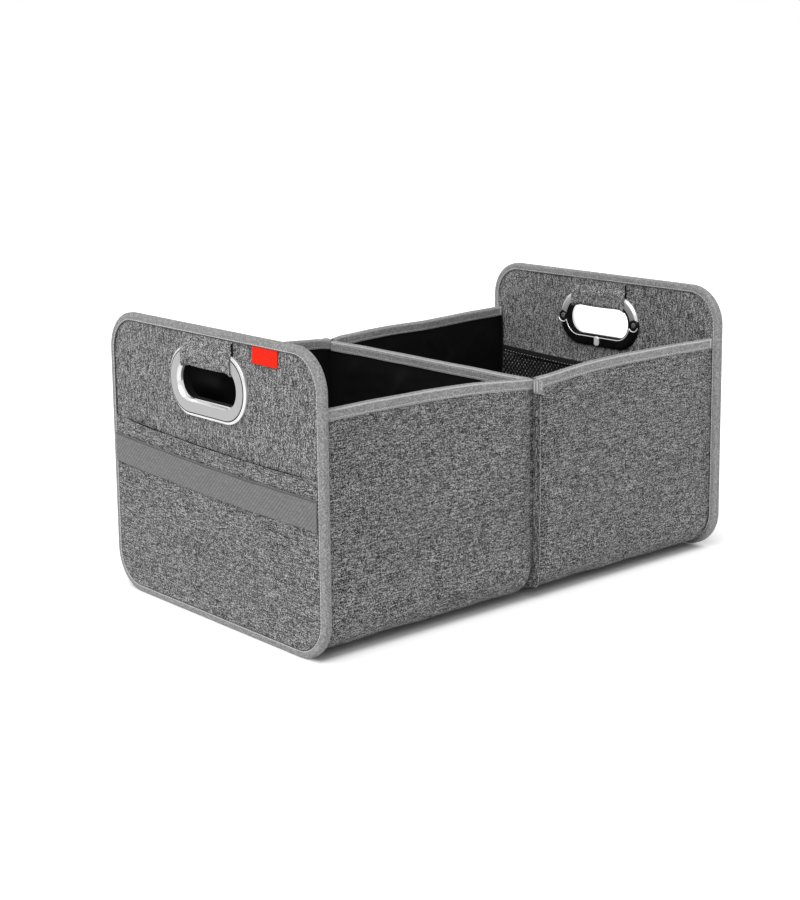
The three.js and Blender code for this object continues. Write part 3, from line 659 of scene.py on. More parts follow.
def tape_finish(name, tones, rib, lean=0.0, fuzz=0.5, ridge=0.35, bump=0.5, depth=0.16, shine=0.2, lines=()):
    """Woven tape. Each of lines is (place across the tape, half width, share of its own
    tone, tone): a darker or lighter line painted along it, mostly painted shade beside an
    edge or a painted highlight on a rounded edge."""
    made, tree, out = fresh_material(name)
    ribs = use_group(tree, tape_group, cloth_place(tree), rib, lean, fuzz, ridge)
    colour = colour_steps(tree, ribs.outputs["Tone"], *tones)
    across = maths(tree, "MULTIPLY", put(tree, "SeparateXYZ", cloth_place(tree)).outputs[1], 1000.0)
    # each line mixes its tone into the colour: painted shade or painted highlight
    for centre, half, share, tone in lines:
        away = maths(tree, "ABSOLUTE", maths(tree, "SUBTRACT", across, centre))
        share = put(tree, "MapRange", away, half * 0.5, half, share, 0.0).outputs[0]
        colour = put(tree, "Mix", share, None, None, None, None, None, colour, (tone, tone, tone, 1.0), data_type="RGBA").outputs[2]
    rough = put(tree, "MapRange", ribs.outputs["Tone"], 0.0, 1.0, 0.85, 0.62).outputs[0]
    finish_with(
        tree, out, colour, rough, ribs.outputs["Height"], bump, depth,
        Specular_IOR_Level=shine, Sheen_Weight=0.05, Sheen_Roughness=0.5,
    )
    return made


def thread_finish(name, tone):
    """Sewing thread, twisted so that its strands show as slanting bands."""
    made, tree, out = fresh_material(name)
    place = put(tree, "TexCoord").outputs["Object"]
    twist = put(tree, "TexWave", place, 1500.0, 1.0, 1.0).outputs[1]
    colour = colour_steps(tree, twist, (0.0, tone * 0.7), (1.0, tone * 1.15))
    rough = put(tree, "MapRange", twist, 0.0, 1.0, 0.75, 0.55).outputs[0]
    finish_with(tree, out, colour, rough, twist, 0.3, 0.05, Specular_IOR_Level=0.3)
    return made


BINDING_RUN = 37.5  # length of the binding's section, once round its outside
# its lines paint a dark shadow along each edge of the tape where it meets the cloth, and a painted highlight just
# inside each edge
grosgrain = tape_finish(
    "grosgrain_tape", [(0.0, 0.13), (0.5, 0.255), (1.0, 0.44)], 1.3, fuzz=0.08, ridge=0.35,
    lines=[(2.3, 0.6, 0.3, 0.55), (BINDING_RUN - 2.3, 0.6, 0.3, 0.55), (0.6, 1.3, 0.8, 0.02), (BINDING_RUN - 0.6, 1.3, 0.8, 0.02)],
)
# its lines at 9.3 and 16.4 are painted highlights on the tape's rounded top edges; the one at 0.9 lightens it near its
# lower edge
wall_grosgrain = tape_finish(
    "wall_grosgrain", [(0.0, 0.14), (0.5, 0.28), (1.0, 0.46)], 1.3, fuzz=0.2, ridge=0.25,
    lines=[(0.9, 0.8, 0.2, 0.5), (9.3, 0.9, 0.6, 0.66), (16.4, 1.0, 0.3, 0.5)],
)
pale_thread = thread_finish("pale_thread", 0.72)
grey_thread = thread_finish("grey_thread", 0.42)
binding_section = soft_polygon(
    [
        (BINDING_FACE, TAPE_INSIDE), (BINDING_FACE, TAPE_FACE), (4.6, TAPE_FACE + 0.22),
        (1.2, TAPE_FACE - 0.1), (0.0, 2.4), (0.0, -2.4), (1.2, 0.1 - TAPE_FACE),
        (4.6, -TAPE_FACE - 0.22), (BINDING_FACE, -TAPE_FACE), (BINDING_FACE, -TAPE_INSIDE),
        (TAPE_THICK, -TAPE_INSIDE), (TAPE_THICK, TAPE_INSIDE),
    ],
    [0.3, 0.45, 1.6, 1.3, 1.3, 1.3, 1.3, 1.6, 0.45, 0.3, 0.1, 0.1],
)
around, panel_length = rim_steps(PANEL_HALF, 0.0, PANEL_TOP, PANEL_CORNER, 420)
for end, side in ENDS:
    binding = piece(
        f"{end}_edge_binding",
        [swept_ring(panel_rim, binding_section, side, around, panel_length)],
        grosgrain,
    )
    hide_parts(f"{end}_panel_binding")
    place, seam_length = rim_steps(
        PANEL_HALF - SEAM_INSET, SEAM_INSET, PANEL_TOP - SEAM_INSET, PANEL_CORNER - SEAM_INSET,
        int(panel_length / STITCH_PITCH),
    )
    seam = panel_rim(SEAM_INSET, place)
    heading = np.roll(seam, -1, 0) - np.roll(seam, 1, 0)
    heading /= np.linalg.norm(heading, axis=1, keepdims=True)
    rows = []
    for face in (1.0, -1.0):
        level = side * (PANEL_MIDDLE + face * (TAPE_FACE + 0.16))
        centres = np.column_stack([np.full(len(seam), level), seam])
        along = np.column_stack([np.zeros(len(seam)), heading])
        away = np.tile([side * face, 0.0, 0.0], (len(seam), 1))
        rows.append(stitch_row(centres, along, away))
    piece(f"{end}_binding_seam", rows, pale_thread)

# Carry handle of each end panel: a plated ring clipped through the hand hole. Its outer
# flange is satin with polished bevels; inside, the ring's upper half is a plated arch and
# its lower half a black moulding with a screw boss at each end, held by a snap tab.
FLANGE_WIDTH = 13.5
FLANGE_FACE = 6.5
SLEEVE_WALL = 1.8
SLEEVE_END = 5.6
SLEEVE_SHOWN = 0.9  # behind this level the sleeve is lined with the black moulding
GROOVE_AT = 11.5
BEVEL_END = 15.0
BEAD_OFFSET = 1.8
BEAD_RADIUS = 0.62
BEAD_BEND = 6.5
INNER_WIDTH = 12.0
INNER_FACE = 6.4
BOSS_RADIUS = 6.0
BOSS_Y = 50.05
SCREW_RADIUS = 3.0
SCREW_SINK = 1.0


def plating(name, satin, polished, tone, metal=1.0):
    """Nickel plating. Edge, a mask painted on the mesh, is 1 on polished bevels and 0 on
    the satin face, whose fine blasted grain scatters the light. Where it is 1 the colour
    is up to 1.9 times lighter: painted highlight."""
    made, tree, out = fresh_material(name)
    edge = put(tree, "Attribute", attribute_name="edge").outputs["Fac"]
    place = put(tree, "TexCoord").outputs["Object"]
    grain = put(tree, "TexNoise", place, None, 2600.0, 3.0).outputs[0]
    wear = put(tree, "TexNoise", place, None, 70.0, 4.0).outputs[0]
    base = put(tree, "MapRange", edge, 0.0, 1.0, satin, polished).outputs[0]
    rough = maths(tree, "ADD", base, put(tree, "MapRange", wear, 0.3, 0.7, -0.02, 0.03).outputs[0])
    colour = colour_steps(tree, edge, (0.0, tone), (1.0, min(1.0, tone * 1.9)))
    finish_with(tree, out, colour, rough, grain, 0.12, 0.02, Metallic=metal)
    return made


def mark_edges(made, edge_at):
    """Writes the edge mask, worked out from each point's place in millimetres."""
    points = np.zeros(len(made.data.vertices) * 3, np.float32)
    made.data.vertices.foreach_get("co", points)
    mask = made.data.attributes.new("edge", "FLOAT", "POINT")
    values = edge_at(points.reshape(-1, 3) / MM).astype(np.float32)
    mask.data.foreach_set("value", values)


def turned(profile, y, z, side, count=72):
    """A profile of radius and level points turned round an axis along X at y, z; each
    end of the profile on the axis closes it."""
    angle = np.arange(count) * 2 * np.pi / count
    radius, level = profile[:, 0][:, None], profile[:, 1][:, None]
    points = np.stack(
        np.broadcast_arrays(
            side * (PANEL_MIDDLE - level), y + radius * np.cos(angle), z + radius * np.sin(angle)
        ),
        -1,
    )
    uv = np.stack(
        np.broadcast_arrays(radius * np.linspace(0, 2 * np.pi, count + 1), run_length(profile)[:, None]), -1
    )
    return points, uv


def plate_rows(low, high, edge, steps=5):
    """How far each row of a plate with round edges is drawn in, and its level."""
    t = np.linspace(0, np.pi / 2, steps)
    inset = edge * (1 - np.sin(t))
    level = low + edge * (1 - np.cos(t))
    return np.concatenate([inset, inset[::-1]]), np.concatenate([level, low + high - level[::-1]])


def boss_start(offset, radius):
    """Place on the hole's outline, past the left boss, at which a track the given offset
    from the hole leaves the boss: the law of cosines gives the angle round the corner."""
    track = HOLE_CORNER + offset
    centre_y = HOLE_HALF - HOLE_CORNER
    lift = HOLE_HALF_HEIGHT - HOLE_CORNER
    reach = np.hypot(BOSS_Y - centre_y, lift)
    cosine = (track**2 + reach**2 - radius**2) / (2 * track * reach)
    return 1 + (np.arccos(cosine) - np.arctan2(lift, BOSS_Y - centre_y)) / (np.pi / 2)


def half_ring(side, section, radius, below):
    """Half of the inner ring, whose ends follow the round bosses."""
    start = boss_start(section[:, 0], radius)[None]
    t = np.linspace(0, 1, 150)[:, None]
    share = (1 - np.cos(np.pi * t)) / 2
    place = start * (1 - share) + (5 - start) * share
    yz = hole_rim(section[None, :, 0], place)
    if below:
        yz = np.stack([yz[..., 0], 2 * HOLE_MIDDLE - yz[..., 1]], -1)
    x = np.broadcast_to(side * (PANEL_MIDDLE + section[None, :, 1]), yz.shape[:2])
    uv = np.stack(np.broadcast_arrays(200.0 * t, run_length(section, True)[None]), -1)
    return patch(np.concatenate([x[..., None], yz], -1), uv, tube=True, ends=True)


def bead(side):
    """A plated wire along the black moulding's inner edge, from boss to boss; at each end
    it curls round under the boss to the outer side."""
    start = boss_start(BEAD_OFFSET, BEAD_BEND)
    track = hole_rim(BEAD_OFFSET, np.linspace(start, 5 - start, 220))
    track[:, 1] = 2 * HOLE_MIDDLE - track[:, 1]
    turn_y = np.sign(track[0, 0]) * BOSS_Y
    angle = np.arctan2(track[0, 1] - HOLE_MIDDLE, abs(track[0, 0]) - BOSS_Y)
    curl = np.linspace(-0.35, angle, 26)[:-1]
    first = np.stack([turn_y + np.sign(turn_y) * BEAD_BEND * np.cos(curl), HOLE_MIDDLE + BEAD_BEND * np.sin(curl)], -1)
    last = first[::-1] * (-1, 1)
    line = np.concatenate([first, track, last])
    for _ in range(3):
        line[1:-1] = (line[:-2] + 2 * line[1:-1] + line[2:]) / 4
    heading = np.gradient(line, axis=0)
    heading /= np.linalg.norm(heading, axis=1, keepdims=True)
    normal = np.stack([-heading[:, 1], heading[:, 0]], -1)
    angle = np.arange(12) * np.pi / 6
    yz = line[:, None] + BEAD_RADIUS * np.cos(angle)[None, :, None] * normal[:, None]
    x = side * (PANEL_MIDDLE - INNER_FACE - 0.15 + BEAD_RADIUS * np.sin(angle))
    x = np.broadcast_to(x[None], yz.shape[:2])
    girth = np.linspace(0, 2 * np.pi * BEAD_RADIUS, 13)[None]
    uv = np.stack(np.broadcast_arrays(run_length(line)[:, None], girth), -1)
    return patch(np.concatenate([x[..., None], yz], -1), uv, tube=True, ends=True)


# both platings are painted lighter on their bevels as highlight; the second, near-white with little metal, paints the
# highlight on the bead and snap tab
satin_plate = plating("satin_plating", 0.34, 0.20, 0.40, metal=0.6)
painted_highlight_plate = plating("painted_highlight_plating", 0.34, 0.16, 0.72, metal=0.3)


def moulded_black(name):
    """Glossy black moulding with a faint flow in its skin."""
    made, tree, out = fresh_material(name)
    place = put(tree, "TexCoord").outputs["Object"]
    flow = put(tree, "TexNoise", place, None, 120.0, 3.0).outputs[0]
    colour = colour_steps(tree, flow, (0.3, 0.004), (0.7, 0.007))
    rough = put(tree, "MapRange", flow, 0.3, 0.7, 0.20, 0.30).outputs[0]
    finish_with(tree, out, colour, rough, flow, 0.08, 0.2, Specular_IOR_Level=0.30)
    return made


def screw_finish(name):
    made, tree, out = fresh_material(name)
    place = put(tree, "TexCoord").outputs["Object"]
    turning = put(tree, "TexNoise", place, None, 900.0, 3.0).outputs[0]
    colour = colour_steps(tree, turning, (0.3, 0.20), (0.7, 0.34))
    rough = put(tree, "MapRange", turning, 0.3, 0.7, 0.28, 0.42).outputs[0]
    finish_with(tree, out, colour, rough, turning, 0.15, 0.05, Metallic=1.0)
    return made


def matte_black_finish(name):
    """Black rubber: nearly no shine, faintly mottled. It also colours the black strips that are painted shadow at the
    grip wrap's edge and in the pocket's mouth.
    """
    made, tree, out = fresh_material(name)
    mottle = put(tree, "TexNoise", put(tree, "TexCoord").outputs["Object"], None, 700.0, 3.0).outputs[0]
    colour = colour_steps(tree, mottle, (0.3, 0.003), (0.7, 0.006))
    rough = put(tree, "MapRange", mottle, 0.3, 0.7, 0.75, 0.9).outputs[0]
    finish_with(tree, out, colour, rough, mottle, 0.1, 0.03, Specular_IOR_Level=0.06)
    return made


black_moulding = moulded_black("black_moulding")
black_rubber_and_painted_shadow = matte_black_finish("black_rubber_and_painted_shadow")
screw_steel = screw_finish("screw_steel")

ring_section = soft_polygon(
    [
        (0.0, SLEEVE_SHOWN), (0.0, FLANGE_FACE - 3.0), (2.2, FLANGE_FACE), (GROOVE_AT, FLANGE_FACE),
        (GROOVE_AT + 0.1, FLANGE_FACE - 0.9), (GROOVE_AT + 0.85, FLANGE_FACE - 0.9),
        (GROOVE_AT + 0.95, FLANGE_FACE - 0.3), (BEVEL_END, FLANGE_FACE - 1.3), (BEVEL_END, TAPE_INSIDE),
        (SLEEVE_WALL, TAPE_INSIDE), (SLEEVE_WALL, SLEEVE_SHOWN),
    ],
    [0.3, 0.5, 0.25, 0.15, 0.05, 0.05, 0.25, 0.6, 0.2, 0.2, 0.3],
)
liner_section = soft_polygon(
    [(0.1, SLEEVE_SHOWN - 0.15), (0.1, -INNER_FACE - 0.5), (1.95, -INNER_FACE - 0.5), (1.95, SLEEVE_SHOWN - 0.15)],
    [0.1, 0.7, 0.7, 0.1],
    6,
)
gasket_section = soft_polygon(
    [
        (GROOVE_AT + 0.15, FLANGE_FACE - 0.85), (GROOVE_AT + 0.15, FLANGE_FACE - 0.1),
        (GROOVE_AT + 0.85, FLANGE_FACE - 0.1), (GROOVE_AT + 0.85, FLANGE_FACE - 0.85),
    ],
    0.1,
    3,
)
inner_section = soft_polygon(
    [
        (HOLE_TRIM, -TAPE_INSIDE), (HOLE_TRIM, -INNER_FACE), (INNER_WIDTH - 2.6, -INNER_FACE),
        (INNER_WIDTH, 1.8 - INNER_FACE), (INNER_WIDTH, -TAPE_INSIDE),
    ],
    [0.2, 0.7, 0.8, 0.8, 0.2],
    9,
)
hole_place, hole_length = rim_steps(
    HOLE_HALF, HOLE_MIDDLE - HOLE_HALF_HEIGHT, HOLE_MIDDLE + HOLE_HALF_HEIGHT, HOLE_CORNER, 288
)


def polished_bevels_painted_light(points):
    """1 where the flange slopes to its outer or inner edge, and along the sleeve; lighter there as painted highlight.
    """
    out_face = np.abs(np.abs(points[:, 0]) - PANEL_MIDDLE - FLANGE_FACE) < 0.12
    return 1.0 - out_face


for end, side in ENDS:
    inset, level = plate_rows(INNER_FACE + 0.1, INNER_FACE + 2.1, 0.95, 8)
    tab_place, _ = rim_steps(3.3, 190.8, 200.9, 2.5, 40)
    tab = rim(3.3 - inset[:, None], 190.8 + inset[:, None], 200.9 - inset[:, None], 2.5 - inset[:, None], tab_place[None])
    tab_x = np.broadcast_to(side * (PANEL_MIDDLE - level[:, None]), tab.shape[:2])
    tab_uv = np.concatenate([tab, tab[:, :1]], 1)
    tab = patch(np.concatenate([tab_x[..., None], tab], -1), tab_uv, tube=True, ends=True)
    ring = piece(
        f"{end}_plated_ring",
        [swept_ring(hole_rim, ring_section, side, hole_place, hole_length)],
        satin_plate,
        sharp=40.0,
    )
    mark_edges(ring, polished_bevels_painted_light)
    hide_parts(f"{end}_handle_ring")
    # bead and snap tab: near-white, mostly diffuse plating, a painted highlight
    trim = piece(f"{end}_bright_trim", [bead(side), tab], painted_highlight_plate, sharp=40.0)
    mark_edges(trim, lambda points: np.ones(len(points)))
    seals = [
        swept_ring(hole_rim, section, side, hole_place, hole_length) for section in (gasket_section, liner_section)
    ]
    piece(f"{end}_ring_seals", seals, black_rubber_and_painted_shadow, sharp=50.0)
    arch = piece(
        f"{end}_plated_arch",
        [half_ring(side, inner_section, BOSS_RADIUS + 0.3, False)],
        satin_plate,
        sharp=40.0,
    )
    # all but the arch's flat face counts as bevel and is painted lighter as highlight
    mark_edges(arch, lambda points: np.where(np.abs(np.abs(points[:, 0]) - PANEL_MIDDLE + INNER_FACE) < 0.15, 0.35, 1.0))
    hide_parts(f"{end}_handle_arch")
    boss_profile = np.concatenate([
        [(0.0, TAPE_INSIDE)],
        soft_polygon(
            [
                (BOSS_RADIUS, TAPE_INSIDE), (BOSS_RADIUS, INNER_FACE), (SCREW_RADIUS + 0.3, INNER_FACE),
                (SCREW_RADIUS + 0.3, INNER_FACE - SCREW_SINK),
            ],
            [0.1, 0.9, 0.25, 0.1],
            6,
            shut=False,
        ),
        [(0.0, INNER_FACE - SCREW_SINK)],
    ])
    cover_parts = [half_ring(side, inner_section, BOSS_RADIUS - 0.25, True)]
    for across in (1.0, -1.0):
        points, uv = turned(boss_profile, across * BOSS_Y, HOLE_MIDDLE, side)
        clear = HOLE_HALF + HOLE_TRIM
        points[..., 1] = across * np.maximum(across * points[..., 1], clear)
        cover_parts.append(patch(points, uv, tube=True))
    cover = piece(f"{end}_black_cover", cover_parts, black_moulding, sharp=50.0)
    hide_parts(f"{end}_handle_cover")
    for across, hand in ((1.0, "left"), (-1.0, "right")):
        radius = np.concatenate([np.linspace(0, 0.93, 26), [0.975, 1.0, 1.0]]) * SCREW_RADIUS
        crown = 0.25 * (radius / SCREW_RADIUS) ** 2
        crown[-3:] += [0.03, 0.12, 0.42]
        profile = np.stack([radius, INNER_FACE - crown], -1)
        points, uv = turned(profile, across * BOSS_Y, HOLE_MIDDLE, side, 96)
        a = points[..., 1] - across * BOSS_Y
        b = points[..., 2] - HOLE_MIDDLE
        arm = np.minimum(np.maximum(np.abs(a) / 0.5, np.abs(b) / 1.75), np.maximum(np.abs(a) / 1.75, np.abs(b) / 0.5))
        points[..., 0] += side * 0.45 * (1 - ease(arm, 0.75, 1.1))
        screw = piece(
            f"{end}_{hand}_screw_head",
            [patch(points, uv, tube=True, facing=(-side, 0, 0))],
            screw_steel,
        )
        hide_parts(f"{end}_handle_{hand}_screw")

# Grip wrap of each handle: a hemmed band of heather cloth, sewn under the top binding,
# that passes down over the ring, turns through the hand hole and goes up the other face.
# It is doubled under the fingers, and its side edges are rounded folds.
WRAP_HALF = 37.0
WRAP_THICK = 1.2
GRIP_THICK = 2.4
WRAP_TOP = 260.2
WRAP_SIDE = 7.42  # its middle line, where it passes the ring
WRAP_HEM = 0.7


def hole_top(y, grow):
    """Height of the hand hole's upper edge, grown by a distance: level, then a circle."""
    corner = HOLE_CORNER + grow
    past = np.clip(np.abs(y) - (HOLE_HALF - HOLE_CORNER), 0, corner)
    return HOLE_MIDDLE + HOLE_HALF_HEIGHT + grow - corner + np.sqrt(corner**2 - past**2)


def evenly(lines, count):
    """Lines of points, side by side, drawn with count points at equal steps along the
    middle one."""
    middle = run_length(lines[len(lines) // 2])
    spot = np.interp(np.linspace(0, middle[-1], count), middle, np.arange(len(middle)))
    low = np.minimum(spot.astype(int), len(middle) - 2)
    share = (spot - low)[None, :, None]
    return lines[:, low] * (1 - share) + lines[:, low + 1] * share, middle[-1]


def grip_wrap(side):
    """Rows across the hand hole; each is the band's line from one face to the other, with
    cloth on both sides of it, thicker under the fingers and thin at the rounded hems."""
    y = WRAP_HALF * np.sin(np.linspace(-np.pi / 2, np.pi / 2, 64))
    rise = 1 - (y / WRAP_HALF) ** 2
    over = hole_top(y, FLANGE_WIDTH)
    under = hole_top(y, 0.0) - 0.3 - (WRAP_THICK + (GRIP_THICK - WRAP_THICK) * rise) / 2
    still = np.ones_like(y)
    half = [(3.68 * still, WRAP_TOP * still), (3.75 * still, over + 5.0), (WRAP_SIDE * still, over - 0.4),
            (WRAP_SIDE * still, under + 0.3), (4.6 * still, under)]
    lines = [np.stack(corner, -1) for corner in half]
    lines += [corner * (-1, 1) for corner in reversed(lines)]
    lines = np.stack(lines, 1)
    rounding = np.array([0.1, 3.5, 2.6, 2.4, 0.8])
    rounding = np.concatenate([rounding, rounding[::-1]])
    soft = np.stack([soft_polygon(line, rounding, 7, shut=False) for line in lines])
    line, length = evenly(soft, 150)
    run = np.linspace(0, length, 150)[None, :]
    heading = np.gradient(line, axis=1)
    heading /= np.linalg.norm(heading, axis=-1, keepdims=True)
    normal = np.stack([-heading[..., 1], heading[..., 0]], -1)
    grip = 1 - ease(np.abs(run - length / 2), 9.0, 15.0)
    thick = WRAP_THICK + (GRIP_THICK - WRAP_THICK) * rise[:, None] * grip
    hem = np.clip((np.abs(y) - (WRAP_HALF - WRAP_HEM)) / WRAP_HEM, 0, 0.985)
    thick = thick * np.sqrt(1 - hem**2)[:, None]
    drape = 0.22 * waves(y[:, None], run, 21.0, 31 + int(side)) * ease(rise, 0.02, 0.25)[:, None]
    outer = line + normal * (thick / 2 + drape * (drape > 0))[..., None]
    inner = line - normal * (thick / 2)[..., None]
    section = np.concatenate([outer, inner[:, ::-1]], 1)
    across = np.broadcast_to(y[:, None], section.shape[:2])
    points = np.stack([side * (PANEL_MIDDLE + section[..., 0]), across, section[..., 1]], -1)
    girth = np.concatenate([run[0], run[0, ::-1] + 0.5, [0.5]])
    uv = np.stack(np.broadcast_arrays(y[:, None], girth[None]), -1)
    return patch(points, uv, tube=True, ends=True), length


even_heather = heather_finish("heather_even", 0.55, 0.98)
for end, side in ENDS:
    shape, wrap_length = grip_wrap(side)
    wrap = piece(f"{end}_handle_wrap", [shape], even_heather, sharp=75.0)
    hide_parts(f"{end}_grip_wrap")
    # black strips along the wrap's edge on the -Y side, on both faces: painted shadow in the gap between wrap and
    # cloth
    z = np.linspace(hole_top(WRAP_HALF, FLANGE_WIDTH) - 1.0, WRAP_TOP - 1.5, 40)
    y = -WRAP_HALF - 0.35 - 0.25 * np.sin(z / 6.0)
    fold = soft_polygon([(-0.75, 3.6), (0.75, 3.6), (0.75, 4.5), (-0.75, 4.2)], 0.25, 4)
    points = np.stack(np.broadcast_arrays(
        side * (PANEL_MIDDLE + fold[None, :, 1]), y[:, None] + fold[None, :, 0], z[:, None]
    ), -1)
    inner = points * (1, 1, 1)
    inner[..., 0] = side * 2 * PANEL_MIDDLE - points[..., 0]
    fold_uv = np.stack(np.broadcast_arrays(z[:, None], run_length(fold, True)[None]), -1)
    shades = [patch(shape, fold_uv, tube=True, ends=True) for shape in (points, inner)]
    piece(f"{end}_wrap_edge_painted_shadow", shades, black_rubber_and_painted_shadow, sharp=60.0)

# Front pocket: heather cloth turned so that its streaks lie level, folded double along
# its sagging upper edge and sewn into the binding at both sides and below. A webbing
# strap crosses it, and a bare red woven label hangs from the top binding.
FACE_EDGE = 7.7  # pieces on the panel's faces stop this far inside its outline
FACE_HALF = PANEL_HALF - FACE_EDGE
POCKET_TOP = 158.5
POCKET_RISE = 9.3
POCKET_LOW_Y = -90.0
STRAP_MIDDLE = 129.0
STRAP_RISE = 8.2
STRAP_LOW_Y = -130.0
STRAP_WIDTH = 27.5
POCKET_FACE = 4.1
LABEL_Y = -84.0
LABEL_WIDTH = 35.0
LABEL_DROP = 14.5


def near(value, centre, width):
    return np.exp(-(((value - centre) / width) ** 2))


def sag(y, low, rise, low_y):
    """A sagging edge, lowest at low_y and climbing as the square of the distance."""
    return low + rise * ((y - low_y) / (FACE_HALF - low_y)) ** 2


def pocket_rise(y, z):
    """How far the pocket stands off the panel: it gapes along its upper edge, is held
    down by the strap and swells a little below it."""
    top = sag(y, POCKET_TOP, POCKET_RISE, POCKET_LOW_Y)
    strap = sag(y, STRAP_MIDDLE, STRAP_RISE, STRAP_LOW_Y)
    width = 1 - np.abs(y / FACE_HALF) ** 6
    gape = 3.3 * ease(z, strap + STRAP_WIDTH / 2 - 4.0, top + 4.0)
    swell = ease(strap - STRAP_WIDTH / 2 - z, -4.0, 26.0) * ease(z, FACE_EDGE, 50.0)
    soft = 0.5 + 0.5 * waves(y, z, 62.0, 77)
    return width * (gape * (0.75 + 0.25 * waves(y, z, 90.0, 12)) + 1.3 * swell * soft)


def lower_edge(y, half, low, corner):
    """Height of a flat outline's foot: level, with a round corner at each side."""
    past = np.clip(np.abs(y) - (half - corner), 0, corner)
    return low + corner - np.sqrt(corner**2 - past**2)


def pocket():
    """Columns from the foot up the front, over the folded edge and down the back."""
    y = FACE_HALF * np.sin(np.linspace(np.pi / 2, -np.pi / 2, 240))[:, None]
    foot = lower_edge(y, FACE_HALF, FACE_EDGE, PANEL_CORNER - FACE_EDGE)
    top = sag(y, POCKET_TOP, POCKET_RISE, POCKET_LOW_Y) - 0.62
    up = np.linspace(0, 1, 120)[None]
    turn = np.linspace(0, np.pi, 9)[None, 1:-1]
    down = np.linspace(1, 0, 50)[None]
    z_up = foot + (top - foot) * up
    z_down = foot + (top - foot) * down
    still = np.ones_like(turn)
    z = np.concatenate([z_up, top + 0.62 * np.sin(turn), z_down], 1)
    hem = 0.14 * ease(z_up, top - 13.0, top - 12.0)
    stretch = [POCKET_FACE + hem, 3.62 + 0.62 * np.cos(turn) + 0 * top * still, 3.0 + 0 * z_down]
    level = np.concatenate(stretch, 1) + pocket_rise(y, np.minimum(z, top))
    beside = np.abs(z - sag(y, STRAP_MIDDLE, STRAP_RISE, STRAP_LOW_Y)) - STRAP_WIDTH / 2
    level = level + 0.8 * near(beside, 2.4, 1.5) * (1 - np.abs(y / FACE_HALF) ** 6)
    points = np.stack([-(PANEL_MIDDLE + level), np.broadcast_to(y, z.shape), z], -1)
    spread = np.concatenate([z_up, top + 0.9 * turn, z_down + 3.0], 1)
    uv = np.stack([np.broadcast_to(y, z.shape), spread], -1)
    uv = np.concatenate([uv, uv[:, :1]], 1)
    return patch(points, uv, tube=True, ends=True)


def pocket_mouth_painted_shadow():
    """A black strip tucked in behind the folded edge that fills the pocket's mouth: painted shadow in the gap."""
    y = 0.985 * FACE_HALF * np.sin(np.linspace(np.pi / 2, -np.pi / 2, 200))[:, None]
    top = sag(y, POCKET_TOP, POCKET_RISE, POCKET_LOW_Y)
    section = soft_polygon([(0.0, 0.0), (0.0, 1.0), (1.0, 1.0), (1.0, 0.0)], 0.25, 4)
    mouth = pocket_rise(y, top - 0.62) + 0.1
    level = 2.85 + mouth * section[None, :, 0]
    z = top - 0.25 - 1.1 * section[None, :, 1]
    points = np.stack([-(PANEL_MIDDLE + level), np.broadcast_to(y, z.shape), z], -1)
    uv = np.stack(np.broadcast_arrays(y, run_length(section, True)[None]), -1)
    return patch(points, uv, tube=True, ends=True)


def strap():
    """The webbing's flat section with rounded selvedges, carried along the sagging line."""
    half = STRAP_WIDTH / 2
    section = soft_polygon([(4.45, -half), (5.7, -half), (5.7, half), (4.45, half)], 0.62, 6)
    fill = np.linspace(-half + 0.8, half - 0.8, 24)
    front = np.stack([np.full(24, 5.72), fill], -1)
    rear = np.stack([np.full(24, 4.45), fill[::-1]], -1)
    section = np.concatenate([section[:12], front, section[12:], rear])
    y = np.linspace(FACE_HALF, -FACE_HALF, 240)[:, None]
    w = section[None, :, 1]
    z = sag(y, STRAP_MIDDLE, STRAP_RISE, STRAP_LOW_Y) + w + 0.28 * waves(y, 0 * y, 55.0, 3)
    buckle = 0.32 * waves(y, w, 48.0, 8) * (1 - (y / FACE_HALF) ** 6)
    level = section[None, :, 0] + pocket_rise(y, z) + np.maximum(buckle, -0.1)
    points = np.stack([-(PANEL_MIDDLE + level), np.broadcast_to(y, z.shape), z], -1)
    uv = np.stack(np.broadcast_arrays(y, run_length(section, True)[None] - half), -1)
    return patch(points, uv, tube=True, ends=True)


def label():
    """A folded tab that hangs from the binding and curls a little off the cloth."""
    top = PANEL_TOP - FACE_EDGE
    low = top - LABEL_DROP
    z = np.linspace(top, low + 0.45, 20)
    turn = np.linspace(0, np.pi, 9)[1:-1]
    section = np.concatenate([
        np.stack([np.full(20, 3.85), z], -1),
        np.stack([3.45 + 0.4 * np.cos(turn), low + 0.45 - 0.45 * np.sin(turn)], -1),
        np.stack([np.full(20, 3.05), z[::-1]], -1),
    ])
    y = np.linspace(-0.5, 0.5, 48)[:, None] * LABEL_WIDTH + LABEL_Y
    hang = (top - section[None, :, 1]) / LABEL_DROP
    curl = 1.1 * hang**2 * (0.75 + 0.35 * np.cos((y - LABEL_Y - 6.0) / 11.0))
    level = section[None, :, 0] + curl
    z = section[None, :, 1] + 0.25 * hang * np.sin((y - LABEL_Y) / 13.0)
    points = np.stack([-(PANEL_MIDDLE + level), np.broadcast_to(y, z.shape), z], -1)
    uv = np.stack(np.broadcast_arrays(y, run_length(section, True)[None]), -1)
    return patch(points, uv, tube=True, ends=True)


def label_finish(name):
    """Red woven label: a fine satin weave whose floats catch the light in level lines."""
    made, tree, out = fresh_material(name)
    ribs = use_group(tree, tape_group, cloth_place(tree), 0.32, 0.5, 0.7, 0.35)
    steps = [(0.0, (0.74, 0.013, 0.004)), (0.5, (0.88, 0.020, 0.006)), (1.0, (0.98, 0.032, 0.012))]
    colour = colour_steps(tree, ribs.outputs["Tone"], *steps)
    rough = put(tree, "MapRange", ribs.outputs["Tone"], 0.0, 1.0, 0.8, 0.6).outputs[0]
    finish_with(tree, out, colour, rough, ribs.outputs["Height"], 0.3, 0.05, Specular_IOR_Level=0.1)
    return made


